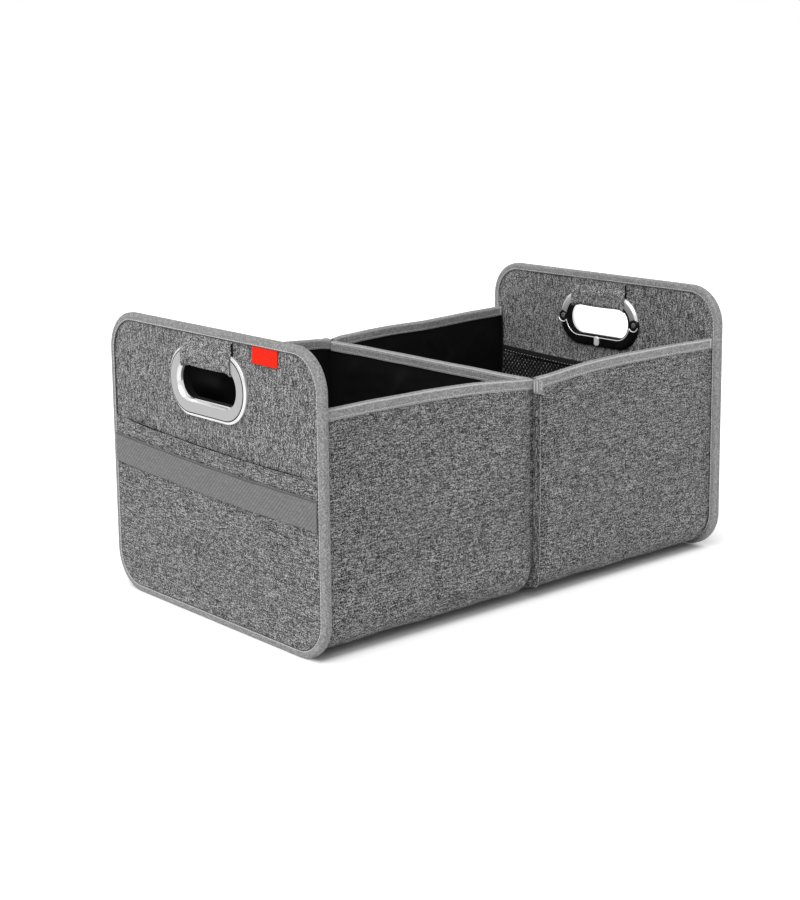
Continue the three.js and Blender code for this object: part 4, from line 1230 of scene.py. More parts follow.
level_heather = heather_finish("heather_level", 0.2, 0.83)
# its dark lines along both edges are painted shadow where the strap meets the pocket
webbing = tape_finish(
    "strap_webbing", [(0.0, 0.12), (0.5, 0.175), (1.0, 0.25)], 4.2, lean=0.95, fuzz=0.5, ridge=0.42, bump=0.7, depth=0.25,
    lines=[(-13.0, 1.0, 0.6, 0.03), (14.0, 1.0, 0.6, 0.03)],
)
pocket_piece = piece("front_pocket_cloth", [pocket()], level_heather, sharp=70.0)
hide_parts("front_pocket")
# black strip in the pocket's mouth: painted shadow
piece("front_pocket_piping", [pocket_mouth_painted_shadow()], black_rubber_and_painted_shadow, sharp=60.0)
strap_piece = piece("front_webbing_strap", [strap()], webbing, sharp=70.0)
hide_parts("front_strap")
label_piece = piece("front_label", [label()], label_finish("red_label"), sharp=70.0)
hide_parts("label_tab")

# Body: each bay is a long piece of heather cloth that runs down one wall, under the floor
# and up the other wall, lined with black nylon; plastic boards stand between the two.
# The walls fold inwards about a crease in the middle of each bay, and the two bays are
# drawn in where they are sewn together.
BODY_HALF = 151.8
BODY_FLOOR = 8.2
BODY_CORNER = 29.8
BODY_END = 248.0
SHELL_THICK = 1.1
LINING_INSET = 3.3
LINING_THICK = 0.9
WALL_THICK = 4.2
WALL_TOP_END = 217.5
WALL_TOP_NEAR = 214.5
WALL_TOP_SEAM = 209.5
DROP_REACH = 45.0
CREASE_X = 124.0
CREASE_DEPTH = 9.0
CREASE_FOOT = 38.0
SEAM_PINCH = 4.0
SEAM_PINCH_REACH = 16.0
TAPE_DROP = 10.0  # height of the tape over the walls' top edges
WALLS = (("left", 1.0), ("right", -1.0))


def wall_top(x):
    """Height of the walls' bound edge: nearly level, and lower towards the seam."""
    x = np.abs(x)
    near_seam = WALL_TOP_SEAM + (WALL_TOP_NEAR - WALL_TOP_SEAM) * x / DROP_REACH
    beyond = WALL_TOP_NEAR + (WALL_TOP_END - WALL_TOP_NEAR) * (x - DROP_REACH) / (BODY_END - DROP_REACH)
    return (near_seam + beyond) / 2 - np.hypot((near_seam - beyond) / 2, 1.2 * ease(x, 0.0, 30.0))


def pinch(x):
    return SEAM_PINCH * (1 - np.minimum(np.abs(x) / SEAM_PINCH_REACH, 1))


def lean(x, z):
    """How far a wall leans in: most at the top of its crease."""
    along = 1 - np.abs(np.abs(x) - CREASE_X) / CREASE_X
    up = np.maximum(0, (z - CREASE_FOOT) / (WALL_TOP_END - CREASE_FOOT))
    return CREASE_DEPTH * along * up


def wall_y(x, z, inset):
    return BODY_HALF - inset - pinch(x) - lean(x, z)


def bay_track(x, inset, below_top):
    """The line down the left wall, round the floor and up the right wall at each x, as
    points y, z and the outward direction there."""
    radius = BODY_CORNER - inset
    middle_y = BODY_HALF - pinch(x) - BODY_CORNER
    middle_z = BODY_FLOOR + BODY_CORNER
    up = np.linspace(1, 0, 72)[None, :-1]
    z_wall = middle_z + (wall_top(x) - below_top - middle_z) * up
    y_wall = wall_y(x, z_wall, inset)
    turn = np.linspace(0, np.pi / 2, 22)[None]
    y_turn = middle_y + radius * np.cos(turn)
    z_turn = middle_z - radius * np.sin(turn) + 0 * x
    flat = np.linspace(1, 0, 20)[None, 1:]
    y_flat = middle_y * flat
    z_flat = middle_z - radius + 0 * y_flat
    y = np.concatenate([y_wall, y_turn, y_flat], 1)
    z = np.concatenate([z_wall, z_turn, z_flat], 1)
    out = np.concatenate([0 * up[0], turn[0], np.pi / 2 + 0 * flat[0]])
    y = np.concatenate([y, -y[:, -2::-1]], 1)
    z = np.concatenate([z, z[:, -2::-1]], 1)
    out = np.concatenate([out, np.pi - out[-2::-1]])
    return y, z, np.cos(out)[None], -np.sin(out)[None]


def bay_stations(first, last, count, close):
    """Distances along a bay, closest together at the seam, at the crease and at the end."""
    spots = np.linspace(first, last, count)
    for centre, half, extra in close:
        spots = np.concatenate([spots, np.linspace(centre - half, centre + half, extra)])
    return np.unique(np.clip(spots, first, last).round(3))[:, None]


def bay_cloth(side, inset, below_top, swell, facing):
    """One bay's cloth: the track at each station, moved out by swell(x, run, y, z)."""
    x = bay_stations(0.15, BODY_END - 0.1, 110, [(0.0, 16.0, 24), (CREASE_X, 7.0, 25), (BODY_END, 8.0, 8)])
    y, z, out_y, out_z = bay_track(x, inset, below_top)
    run = run_length(np.stack([y[len(x) // 2], z[len(x) // 2]], -1))[None]
    move = swell(x, run, y, z)
    y = y + out_y * move
    z = z + out_z * move
    points = np.stack([np.broadcast_to(side * x, y.shape), y, z], -1)
    uv = np.stack(np.broadcast_arrays(x * side, run), -1)
    return patch(points, uv, facing=facing), run[0, -1]


def flat_board_gap(x, z):
    """How far a flat board lies from the twisted sheet between crease and foot, out on
    the board beside the seam and in on the one beside the end panel."""
    u = 1 - np.abs(x - CREASE_X) / CREASE_X
    v = np.clip((z - CREASE_FOOT) / (WALL_TOP_END - CREASE_FOOT), 0, 1)
    outwards = np.where(x < CREASE_X, u * v - np.maximum(0, u + v - 1), 0)
    inwards = np.where(x > CREASE_X, np.minimum(u, v) - u * v, 0)
    return CREASE_DEPTH * outwards, CREASE_DEPTH * inwards


def shell_swell(seed):
    """Slack of the outer cloth over its boards: broad soft waves, short puckers under the
    bindings, a valley beside the seam, a pressed fold line at the crease, and the floor
    hanging a little lower than its seams."""

    def swell(x, run, y, z):
        wall = ease(z, 20.0, 60.0)
        broad = 0.7 + 0.7 * waves(x, run, 95.0, seed)
        fine = 0.2 * waves(x, run, 26.0, seed + 1)
        hold = ease(x, 2.0, 22.0) * ease(BODY_END - x, 1.0, 16.0)
        under = ease(wall_top(x) - z, 9.0, 24.0)
        pulled = 0.3 * (1 - ease(x, 10.0, 34.0)) * waves(0 * x, run, 15.0, seed + 2) * ease(x, 1.0, 9.0)
        fold = 0.9 * near(x, CREASE_X, 5.0) - 1.5 * near(x, CREASE_X, 0.9)
        foot = 1 - ease(z, 14.0, 66.0)
        slack = ease(x, 0.6, 9.0) * ease(BODY_END - x, 0.0, 9.0) * (1 - 0.35 * near(x, CREASE_X, 3.0))
        hang = foot * slack * (4.0 + 0.6 * waves(x, run, 70.0, seed + 3))
        valley = -3.0 * near(x, 2.4, 2.2) * ease(z, 12.0, 40.0)
        notch = -0.9 * near(x, 0.0, 9.0) * (1 - wall)
        loose = wall * under * hold * (broad + fine) + pulled * wall + fold * under + valley + notch
        outwards, _ = flat_board_gap(x, z)
        return hang + outwards + np.maximum(loose, np.where(z > 36.0, -0.05, -1.9) - 3.0 * (x < 5.0))

    return swell


for seed, (bay, side) in enumerate(ENDS):
    shape, girth = bay_cloth(side, 0.0, 1.3, shell_swell(40 + 9 * seed), None)
    shell = piece(f"{bay}_bay_cloth", [shape], level_heather, wall=SHELL_THICK, sharp=70.0)
    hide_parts(f"{bay}_bay_shell")
    for wall, _ in WALLS:
        for place in ("inner", "outer"):
            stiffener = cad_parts[f"{bay}_{wall}_{place}_wall_board"]
            stiffener.data.materials.clear()
            stiffener.data.materials.append(board_plastic)

# Middle seam: where the two bays are sewn together their cloth stands out as a fin down
# each wall, rounded off under the floor, and the end of the binding tape is folded over
# its top and tacked with a zigzag of thread.
FIN_THICK = 3.4
FIN_DEPTH = 8.0
FIN_SWEEP = np.pi * 0.34
SEAM_TAB_HEIGHT = 13.5
SEAM_TAB_WIDTH = 5.2
SEAM_TAB_DEPTH = 9.0
SEAM_GAP = 0.3


def seam_fin(across):
    """Two folded edges of cloth, the front bay's lower than the rear one's, carried down
    the seam. Their tip runs straight on over the rounded lower corner."""
    half = FIN_THICK / 2
    edge = BODY_HALF - SEAM_PINCH * (1 - half / SEAM_PINCH_REACH) + SEAM_GAP
    top = WALL_TOP_SEAM - SEAM_TAB_HEIGHT - SEAM_GAP
    radius = BODY_CORNER + SEAM_GAP
    centre_y, centre_z = edge - radius, BODY_FLOOR + BODY_CORNER
    down = np.linspace(top, centre_z, 70)[:-1]
    angle = np.concatenate([0 * down, np.linspace(0, FIN_SWEEP, 30)])[:, None]
    foot_y = np.where(angle > 0, centre_y + radius * np.cos(angle), edge)
    foot_z = np.concatenate([down, centre_z - radius * np.sin(angle[len(down):, 0])])[:, None]
    line = np.stack([foot_y[:, 0], foot_z[:, 0]], -1)
    run = run_length(line)[:, None]
    section = soft_polygon(
        [(-half, 0.0), (half, 0.0), (half, 0.85), (half * 0.55, 1.0), (0.15, 0.9), (-0.1, 0.35), (-0.35, 0.35),
         (-0.5, 0.62), (-half * 0.7, 0.7), (-half, 0.6)],
        [0.1, 0.1, 0.15, 0.3, 0.15, 0.1, 0.1, 0.1, 0.15, 0.1],
        4,
    )
    depth = edge - foot_y + FIN_DEPTH * (1 - 0.4 * (angle / FIN_SWEEP) ** 2) * (0.93 + 0.07 * waves(run, 0 * run, 30.0, 5))
    sway = 0.55 * waves(run, 0 * run, 42.0, 17) * section[None, :, 1] * ease(run, 0.0, 20.0)
    x = section[None, :, 0] * (1 - 0.12 * section[None, :, 1]) + sway
    y = foot_y + depth * section[None, :, 1]
    z = np.broadcast_to(foot_z + 1.5 * section[None, :, 1] * angle, y.shape)
    girth = run_length(section * (1, FIN_DEPTH), True)[None]
    uv = np.stack(np.broadcast_arrays(girth, run), -1)
    return patch(np.stack([x, across * y, z], -1), uv, tube=True, ends=True)


def seam_tab(across):
    """The folded tape end: a plate of rounded outline with soft edges."""
    half = SEAM_TAB_WIDTH / 2
    foot = BODY_HALF - SEAM_PINCH * (1 - half / SEAM_PINCH_REACH) + SEAM_GAP
    inset, level = plate_rows(-half, half, 0.8, 6)
    middle = foot + SEAM_TAB_DEPTH / 2
    low, high = WALL_TOP_SEAM - SEAM_TAB_HEIGHT, WALL_TOP_SEAM
    place, length = rim_steps(SEAM_TAB_DEPTH / 2, low, high, 1.8, 64)
    i = inset[:, None]
    outline = rim(SEAM_TAB_DEPTH / 2 - i, low + i, high - i, 1.8 - i, place[None])
    y = across * (middle + outline[..., 0])
    bow = 0.35 * np.sin((outline[..., 1] - low) / 4.0)
    x = np.broadcast_to(level[:, None], y.shape) + bow
    uv = np.stack(np.broadcast_arrays(np.linspace(0, length, 65)[None], level[:, None] + half), -1)
    return patch(np.stack([x, y, outline[..., 1]], -1), uv, tube=True, ends=True), middle


def zigzag(centre, step_a, step_b, away, count, length):
    """Stitches that lean one way and the other in turn, on a line through centre: step_a
    runs along the line and step_b across it."""
    k = np.arange(count)[:, None] - (count - 1) / 2
    lean_way = np.where(np.arange(count) % 2, 1.0, -1.0)[:, None]
    step_a, step_b = np.asarray(step_a, float), np.asarray(step_b, float)
    along = step_a + lean_way * step_b
    along /= np.linalg.norm(along, axis=1, keepdims=True)
    centres = np.asarray(centre, float) + k * step_a
    return stitch_row(centres, along, np.tile(np.asarray(away, float), (count, 1)), length, 0.8)


# a darker copy of the heather for the seam fins: painted shade of the valley at the seam
seam_heather_painted_shade = heather_finish("heather_seam_painted_shade", 0.9, 0.66)
for wall, across in WALLS:
    fin = piece(f"{wall}_seam_fold", [seam_fin(across)], seam_heather_painted_shade, sharp=70.0)
    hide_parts(f"{wall}_seam_fin")
    shape, middle = seam_tab(across)
    tape_end = piece(f"{wall}_seam_tape_end", [shape], wall_grosgrain, sharp=70.0)
    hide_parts(f"{wall}_seam_tab")
    tacks = []
    for face in (-1.0, 1.0):
        x = face * (SEAM_TAB_WIDTH / 2 + 0.1)
        for shift in (-2.2, 1.6):
            centre = (x, across * (middle + shift), WALL_TOP_SEAM - 6.6)
            tacks.append(zigzag(centre, (0, 0, 0.95), (0, 1.3, 0), (face, 0, 0), 11, 1.9))
    tip = across * (middle + SEAM_TAB_DEPTH / 2 + 0.05)
    tacks.append(zigzag((0.1, tip, WALL_TOP_SEAM - 5.6), (0, 0, 1.7), (2.2, 0, 0), (0, across, 0), 5, 3.0))
    piece(f"{wall}_seam_tacking", tacks, pale_thread)
    z = np.arange(BODY_CORNER + 8.0, WALL_TOP_SEAM - SEAM_TAB_HEIGHT - 3.0, 3.3)
    run = WALL_TOP_SEAM - SEAM_TAB_HEIGHT - SEAM_GAP - z
    depth = FIN_DEPTH * (0.93 + 0.07 * waves(run, 0 * run, 30.0, 5))
    sway = 0.55 * waves(run, 0 * run, 42.0, 17) * ease(run, 0.0, 20.0)
    edge = BODY_HALF - SEAM_PINCH * (1 - FIN_THICK / 2 / SEAM_PINCH_REACH) + SEAM_GAP + depth
    overlock = np.stack([0.5 + sway, across * (edge + 0.05), z], -1)
    upright, outward = np.tile([0.0, 0.0, 1.0], (len(z), 1)), np.tile([0.0, across, 0.0], (len(z), 1))
    piece(f"{wall}_seam_overlock", [stitch_row(overlock, upright, outward, 2.9, 0.8)], grey_thread)

# Lining of each bay: black coated nylon that hangs loose over the boards, creased from
# folding, with a flange turned onto each end panel. Dark marks of old folds run aslant.


def lining_swell(seed):
    """Slack of the lining, drawn away from the wall: slanting wrinkles, the fold over the
    crease, and nothing where the base boards lie on it or the tapes hold it."""

    def swell(x, run, y, z):
        wall = ease(z, 22.0, 60.0)
        hold = ease(x, 12.0, 40.0) * ease(BODY_END - x, 12.0, 26.0) * ease(wall_top(x) - z, 10.5, 28.0)
        slant = waves(x + 0.9 * run, 0.35 * (run - x), 40.0, seed)
        small = waves(x - 0.7 * run, 0.3 * run, 17.0, seed + 1)
        ridge = np.maximum(0, slant) ** 2 * 1.5 + 0.5 * np.maximum(0, small) ** 2
        fold = 0.9 * near(x, CREASE_X, 4.0)
        _, inwards = flat_board_gap(x, z)
        return -wall * (hold * ridge + fold * ease(wall_top(x) - z, 10.5, 28.0)) - 1.05 * inwards

    return swell


def end_flange(side, across):
    """The lining's edge turned onto the end panel beside a wall."""
    z = np.linspace(24.0, WALL_TOP_END - 11.0, 80)[:, None]
    w = np.linspace(0, 1, 10)[None]
    reach = 2.6 + 0.4 * np.sin(z / 23.0)
    y = wall_y(BODY_END, z, WALL_THICK + 0.6) - reach * w
    x = BODY_END - 3.0 - 0.35 * np.sin(np.pi * w) + 0 * z
    points = np.stack([side * x, across * y, z + 0 * w], -1)
    uv = np.stack(np.broadcast_arrays(reach * w, z), -1)
    return patch(points, uv, facing=(-side, 0, 0))


for seed, (bay, side) in enumerate(ENDS):
    shape, girth = bay_cloth(side, LINING_INSET, 1.3, lining_swell(60 + 7 * seed), None)
    lining = piece(f"{bay}_bay_inner_cloth", [shape], black_lining, wall=LINING_THICK, sharp=70.0)
    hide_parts(f"{bay}_bay_lining")
    flanges = [end_flange(side, across) for _, across in WALLS]
    piece(f"{bay}_lining_flange", flanges, black_lining, wall=0.6)

# Divider between the bays: a thin board in black lining on both faces, bound along its
# top edge with the same tape as the walls, which carries two rows of stitches.
DIVIDER_TOP = 209.0
DIVIDER_BOARD_FACE = 1.0
DIVIDER_FACE = 2.2
DIVIDER_HALF = BODY_HALF - SEAM_PINCH - WALL_THICK - SEAM_GAP
DIVIDER_FOOT = 12.7
DIVIDER_CORNER = BODY_CORNER - WALL_THICK


def divider_cloth(side, seed):
    """Columns from the round-cornered foot up to the bound edge, slack in the middle."""
    y = DIVIDER_HALF * np.sin(np.linspace(-np.pi / 2, np.pi / 2, 150))[:, None]
    foot = lower_edge(y, DIVIDER_HALF, DIVIDER_FOOT, DIVIDER_CORNER)
    z = foot + (DIVIDER_TOP - 1.3 - foot) * np.linspace(0, 1, 90)[None]
    hold = ease(DIVIDER_HALF - np.abs(y), 5.0, 26.0) * ease(DIVIDER_TOP - z, 10.5, 30.0) * ease(z, 41.0, 60.0)
    slant = waves(y + 0.8 * z, 0.3 * (z - y), 44.0, seed)
    swell = hold * (0.5 + 1.6 * np.maximum(0, slant) ** 2 + 0.35 * waves(y, z, 19.0, seed + 1))
    x = side * (DIVIDER_FACE + np.maximum(swell, 0))
    points = np.stack([x, np.broadcast_to(y, z.shape), z], -1)
    return patch(points, points[..., 1:], facing=(side, 0, 0))


def divider_tape():
    """The folded tape's section carried across the divider, a little uneven."""
    out = DIVIDER_FACE + 0.3 + TAPE_THICK
    foot = DIVIDER_TOP - TAPE_DROP
    inner = out - TAPE_THICK
    corners = [(-out, foot), (-out, DIVIDER_TOP - 1.0), (-out + 1.3, DIVIDER_TOP), (out - 1.3, DIVIDER_TOP),
               (out, DIVIDER_TOP - 1.0), (out, foot), (inner, foot), (inner, DIVIDER_TOP - 1.0),
               (-inner, DIVIDER_TOP - 1.0), (-inner, foot)]
    section = soft_polygon(corners, [0.4, 1.2, 0.9, 0.9, 1.2, 0.4, 0.2, 0.2, 0.2, 0.2], 6)
    half = BODY_HALF - SEAM_PINCH - WALL_THICK - 2 * SEAM_GAP - TAPE_THICK
    y = np.linspace(-half, half, 180)[:, None]
    lift = 0.35 * waves(y, 0 * y, 70.0, 21) - 0.2
    x = section[None, :, 0] + 0.25 * waves(y, section[None, :, 1], 50.0, 22) * (np.abs(section[None, :, 0]) > inner + 0.1)
    z = section[None, :, 1] + lift
    uv = np.stack(np.broadcast_arrays(y, run_length(section, True)[None]), -1)
    points = np.stack([x, np.broadcast_to(y, z.shape), z], -1)
    return patch(points, uv, tube=True, ends=True), half


divider_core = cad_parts["divider_board"]
divider_core.data.materials.clear()
divider_core.data.materials.append(board_plastic)
for seed, (bay, side) in enumerate(ENDS):
    face = piece(
        f"divider_{bay}_cloth",
        [divider_cloth(side, 80 + 5 * seed)],
        black_lining,
        wall=LINING_THICK,
    )
    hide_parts(f"divider_{bay}_lining")
shape, divider_tape_half = divider_tape()
divider_top_tape = piece("divider_top_tape", [shape], wall_grosgrain, sharp=70.0)
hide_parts("divider_binding")
rows = []
for face in (-1.0, 1.0):
    for drop in (3.1, 8.3):
        y = np.arange(-divider_tape_half + 2.0, divider_tape_half - 2.0, STITCH_PITCH)
        level = np.full_like(y, face * (DIVIDER_FACE + 0.3 + TAPE_THICK + 0.1))
        centres = np.stack([level, y, DIVIDER_TOP - drop + 0 * y], -1)
        along = np.tile([0.0, 1.0, 0.0], (len(y), 1))
        rows.append(stitch_row(centres, along, np.tile([face, 0.0, 0.0], (len(y), 1))))
piece("divider_tape_seam", rows, pale_thread)

# Wall bindings: tape folded over the top edge of each wall and its lining, with a row of
# pale stitches near its lower edge. It ends in a zigzag tack at the end panel.


def wall_tape(side, across):
    """The folded tape's section carried along the wall's top, leaning in with the wall."""
    out, inner = -0.3 - TAPE_THICK, WALL_THICK + 0.3 + TAPE_THICK
    corners = [(out, TAPE_DROP), (out - 0.12, 1.6), (out + 1.2, 0.0), (inner - 1.2, 0.0), (inner + 0.1, 1.6),
               (inner, TAPE_DROP), (inner - TAPE_THICK, TAPE_DROP), (inner - TAPE_THICK, 1.0),
               (out + TAPE_THICK, 1.0), (out + TAPE_THICK, TAPE_DROP)]
    section = soft_polygon(corners, [0.4, 1.3, 1.0, 1.0, 1.3, 0.4, 0.2, 0.2, 0.2, 0.2], 6)
    x = np.linspace(SEAM_TAB_WIDTH / 2 + 0.3, PANEL_MIDDLE - TAPE_FACE - 0.5, 150)[:, None]
    inset, drop = section[None, :, 0], section[None, :, 1]
    top = wall_top(x) + 0.25 * waves(x, 0 * x, 60.0, 33) * ease(x, 5.0, 20.0)
    z = top - drop
    y = wall_y(x, z, inset)
    uv = np.stack(np.broadcast_arrays(x, run_length(section, True)[None]), -1)
    points = np.stack([np.broadcast_to(side * x, y.shape), across * y, z], -1)
    return patch(points, uv, tube=True, ends=True)


for bay, side in ENDS:
    for wall, across in WALLS:
        tape = piece(f"{bay}_{wall}_wall_tape", [wall_tape(side, across)], wall_grosgrain, sharp=70.0)
        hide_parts(f"{bay}_{wall}_wall_binding")
        x = np.arange(SEAM_TAB_WIDTH / 2 + 3.0, PANEL_MIDDLE - TAPE_FACE - 4.0, STITCH_PITCH)
        z = wall_top(x) - TAPE_DROP + 1.9
        rows = []
        for inset, facing in ((-0.36 - TAPE_THICK, 1.0), (WALL_THICK + 0.36 + TAPE_THICK, -1.0)):
            centres = np.stack([side * x, across * wall_y(x, z, inset), z], -1)
            along = np.gradient(centres, axis=0)
            along /= np.linalg.norm(along, axis=1, keepdims=True)
            away = np.tile([0.0, across * facing, 0.0], (len(x), 1))
            rows.append(stitch_row(centres, along, away))
        x_end = PANEL_MIDDLE - TAPE_FACE - 3.0
        for inset, facing in ((-0.4 - TAPE_THICK, 1.0), (WALL_THICK + 0.4 + TAPE_THICK, -1.0)):
            z_mid = wall_top(x_end) - 5.2
            centre = (side * x_end, across * wall_y(x_end, z_mid, inset), z_mid)
            rows.append(zigzag(centre, (0, 0, 0.9), (1.1, 0, 0), (0, across * facing, 0), 9, 1.8))
        piece(f"{bay}_{wall}_tape_seam", rows, pale_thread)

# Base boards: a stiff board in a sewn cover of black lining in each bay, with rounded
# edges and a line of black stitches round it. A strip of elastic tape, sewn to the
# divider's foot and to the board's top, is the hinge that it lifts on.
BASE_HALF = 121.0
BASE_BOTTOM = 12.7
BASE_TOP = 16.7
BASE_CORNER = 8.0
HINGE_X = 5.2
BASE_END = 246.0
HINGE_TAPE_TOP = 38.7
HINGE_TAPE_REACH = 27.0


def base_board(side):
    """A plate with rounded edges; its upper face is filled to the middle by drawn-in
    loops."""
    half = (BASE_END - HINGE_X) / 2
    inset, level = plate_rows(BASE_BOTTOM, BASE_TOP, 1.4, 6)
    fill = np.linspace(1.4, 6.8, 12)
    inset = np.concatenate([inset, fill])[:, None]
    level = np.concatenate([level, np.full(12, BASE_TOP)])[:, None]
    place, length = rim_steps(half, -BASE_HALF, BASE_HALF, BASE_CORNER, 300)
    flat = rim(half - inset, -BASE_HALF + inset, BASE_HALF - inset, BASE_CORNER - inset, place[None])
    x = side * (HINGE_X + half + flat[..., 0])
    z = np.broadcast_to(level, x.shape) + 0.0
    uv = np.concatenate([flat, flat[:, :1]], 1)
    return patch(np.stack([x, flat[..., 1], z], -1), uv, tube=True, ends=True), half


def hinge_strip(side):
    """The tape's bent line, down the divider and out over the board, with thickness."""
    x_leg, z_leg = 2.95, 17.45
    line = soft_polygon(
        [(x_leg, HINGE_TAPE_TOP), (x_leg, z_leg), (HINGE_TAPE_REACH, z_leg)], [0.1, 1.6, 0.1], 12, shut=False
    )
    fine, length = evenly(line[None], 90)
    line = fine[0]
    heading = np.gradient(line, axis=0)
    heading /= np.linalg.norm(heading, axis=1, keepdims=True)
    normal = np.stack([-heading[:, 1], heading[:, 0]], -1) * 0.4
    section = np.concatenate([line + normal, (line - normal)[::-1]])
    y = np.linspace(-BASE_HALF, BASE_HALF, 90)[:, None]
    x = side * section[None, :, 0] + 0 * y
    z = section[None, :, 1] + 0 * y
    girth = np.concatenate([np.linspace(0, length, 90), np.linspace(length, 0, 90), [0.0]])
    uv = np.stack(np.broadcast_arrays(y, girth[None]), -1)
    return patch(np.stack([x, np.broadcast_to(y, x.shape), z], -1), uv, tube=True, ends=True), length


black_thread = thread_finish("black_thread", 0.02)
black_elastic = tape_finish(
    "black_elastic", [(0.0, 0.004), (0.5, 0.009), (1.0, 0.020)], 0.7, fuzz=0.5, bump=0.5, depth=0.15, shine=0.15
)
for bay, side in ENDS:
    body = f"{bay}_base"
    shape, half = base_board(side)
    board = piece(f"{bay}_covered_board", [shape], black_lining, body=body, sharp=70.0)
    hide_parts(f"{bay}_base_board")
    place, length = rim_steps(half - 5.0, -BASE_HALF + 5.0, BASE_HALF - 5.0, 3.0, int(2 * (2 * half + 2 * BASE_HALF) / 3.6))
    line = rim(half - 5.0, -BASE_HALF + 5.0, BASE_HALF - 5.0, 3.0, place)
    centres = np.stack([side * (HINGE_X + half + line[:, 0]), line[:, 1], np.full(len(line), BASE_TOP + 0.05)], -1)
    centres = centres[np.abs(centres[:, 0]) > HINGE_TAPE_REACH + 1.5]
    along = np.roll(centres, -1, 0) - centres
    along /= np.maximum(np.linalg.norm(along, axis=1, keepdims=True), 1e-6)
    away = np.tile([0.0, 0.0, 1.0], (len(centres), 1))
    piece(f"{bay}_board_seam", [stitch_row(centres, along, away)], black_thread, body=body)
    shape, length = hinge_strip(side)
    strip = piece(f"{bay}_hinge_strip", [shape], black_elastic, body=None, sharp=70.0)
    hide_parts(f"{bay}_hinge_tape")
    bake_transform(strip)

# Mesh pocket on the rear panel's inner face: a black net of two sets of slanting strands
# that pass over and under each other, hung from a sagging elastic band.
NET_HALF = 144.6
BAND_HALF = 145.4
NET_FOOT = 22.0
NET_CELL = 5.1
NET_STEP = 3.1
BAND_LOW = 163.3
BAND_RISE = 3.8
BAND_HEIGHT = 7.0


def band_foot(y):
    """The band's lower edge, which sags towards the middle."""
    return BAND_LOW + BAND_RISE * (y / BAND_HALF) ** 2


def net_strands(lean_way):
    """One set of parallel slanting strands: flat tubes of five sides that wave in and out
    as they cross the other set, and stop at the net's edges."""
    slope = lean_way * NET_CELL / 2 / NET_STEP
    top = BAND_LOW + 1.2
    span = (top - NET_FOOT) * abs(slope)
    first = np.arange(-NET_HALF - span, NET_HALF, NET_CELL) if lean_way > 0 else np.arange(-NET_HALF, NET_HALF + span, NET_CELL)
    limit = np.sort(np.stack([(-NET_HALF - first) / slope, (NET_HALF - first) / slope]), 0)
    low = NET_FOOT + np.clip(limit[0], 0, top - NET_FOOT)
    high = NET_FOOT + np.clip(limit[1], 0, top - NET_FOOT)
    keep = high - low > 4.0
    first, low, high = first[keep][:, None], low[keep][:, None], high[keep][:, None]
    steps = 92
    z = low + (high - low) * np.linspace(0, 1, steps)[None]
    y = first + (z - NET_FOOT) * slope
    weave = lean_way * 0.24 * np.cos(np.pi * (z - NET_FOOT) / NET_STEP)
    angle = np.arange(5) * 2 * np.pi / 5
    across = np.array([1.0, -slope]) / np.hypot(1.0, slope)
    flat = 0.85 * np.cos(angle)[None, None]
    deep = 0.26 * np.sin(angle)[None, None]
    points_x = PANEL_MIDDLE - TAPE_INSIDE - 0.75 + weave[..., None] + deep
    points_y = y[..., None] + flat * across[0]
    points_z = z[..., None] + flat * across[1]
    points = np.stack(np.broadcast_arrays(points_x, points_y, points_z), -1)
    count = len(points)
    i, j = np.meshgrid(np.arange(steps - 1), np.arange(5), indexing="ij")
    quad = np.stack([i * 5 + j, i * 5 + (j + 1) % 5, (i + 1) * 5 + (j + 1) % 5, (i + 1) * 5 + j], -1).reshape(-1, 4)
    quads = (np.arange(count)[:, None, None] * steps * 5 + quad[None]).reshape(-1, 4)
    caps = np.arange(5)
    first_cap = np.arange(count)[:, None] * steps * 5 + caps[None]
    last_cap = first_cap + (steps - 1) * 5
    flat_points = points.reshape(-1, 3)
    a, b, c = (flat_points[quads[:, k]] for k in (0, 1, 2))
    centre = points.mean(2, keepdims=True)
    outward = (np.cross(b - a, c - a) * (a - np.broadcast_to(centre, points.shape).reshape(-1, 3)[quads[:, 0]])).sum()
    step = 1 if outward > 0 else -1
    loops = np.concatenate([quads[:, ::step].ravel(), first_cap[:, ::-step].ravel(), last_cap[:, ::step].ravel()])
    sizes = np.concatenate([np.full(len(quads), 4), np.full(2 * count, 5)])
    return flat_points, loops, sizes, flat_points[loops][:, 1:]


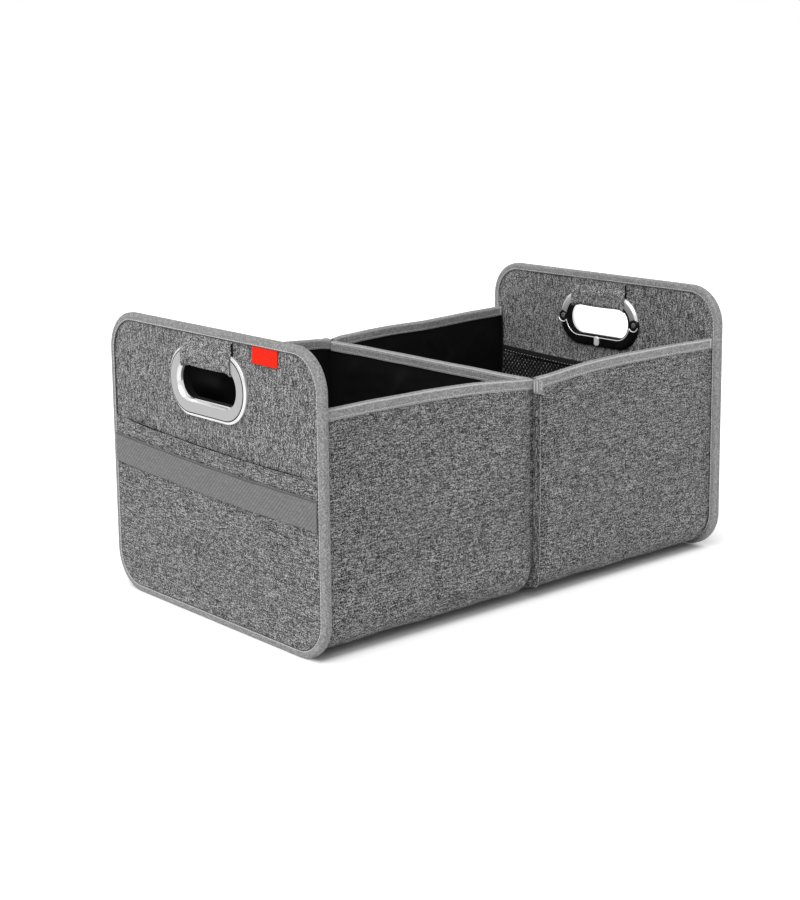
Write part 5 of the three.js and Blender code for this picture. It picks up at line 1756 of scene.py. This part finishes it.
def elastic_band():
    """The band's rounded section carried along its sagging line, finely gathered."""
    section = soft_polygon([(3.1, 0.0), (5.0, 0.0), (5.0, BAND_HEIGHT), (3.1, BAND_HEIGHT)], 0.7, 7)
    y = np.linspace(-BAND_HALF, BAND_HALF, 300)[:, None]
    bow = 1.1 * (1 - (y / BAND_HALF) ** 2) * (0.8 + 0.2 * waves(y, 0 * y, 60.0, 4))
    gather = 0.16 * np.sin(y * 2.1 + 3 * waves(y, 0 * y, 30.0, 6)) * (section[None, :, 0] > 4.0)
    level = section[None, :, 0] + bow * (section[None, :, 0] > 3.5) + gather
    z = band_foot(y) + section[None, :, 1]
    points = np.stack([PANEL_MIDDLE - level, np.broadcast_to(y, z.shape), z], -1)
    uv = np.stack(np.broadcast_arrays(y, run_length(section, True)[None]), -1)
    return patch(points, uv, tube=True, ends=True)


def net_thread(name):
    """Dull black knitted thread, fuzzy with loose fibre."""
    made, tree, out = fresh_material(name)
    place = put(tree, "TexCoord").outputs["Object"]
    fibre = put(tree, "TexNoise", place, None, 2400.0, 3.0).outputs[0]
    colour = colour_steps(tree, fibre, (0.3, 0.004), (0.7, 0.012))
    rough = put(tree, "MapRange", fibre, 0.3, 0.7, 0.7, 0.9).outputs[0]
    finish_with(tree, out, colour, rough, fibre, 0.4, 0.05, Specular_IOR_Level=0.15)
    return made


net = piece("rear_mesh_net", [net_strands(1.0), net_strands(-1.0)], net_thread("net_thread"), sharp=80.0)
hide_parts("mesh_pocket_net")
band = piece("rear_mesh_band", [elastic_band()], black_elastic, sharp=70.0)
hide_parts("mesh_pocket_band")
y = np.arange(-BAND_HALF + 4.0, BAND_HALF - 4.0, 4.4)
bow = 1.1 * (1 - (y / BAND_HALF) ** 2)
centres = np.stack([PANEL_MIDDLE - 5.0 - bow * (0.8 + 0.2 * waves(y, 0 * y, 60.0, 4)), y, band_foot(y) + 1.7], -1)
along = np.tile([0.0, 1.0, 0.0], (len(y), 1))
away = np.tile([-1.0, 0.0, 0.0], (len(y), 1))
piece("rear_mesh_seam", [stitch_row(centres, along, away, 2.0, 0.5)], pale_thread)
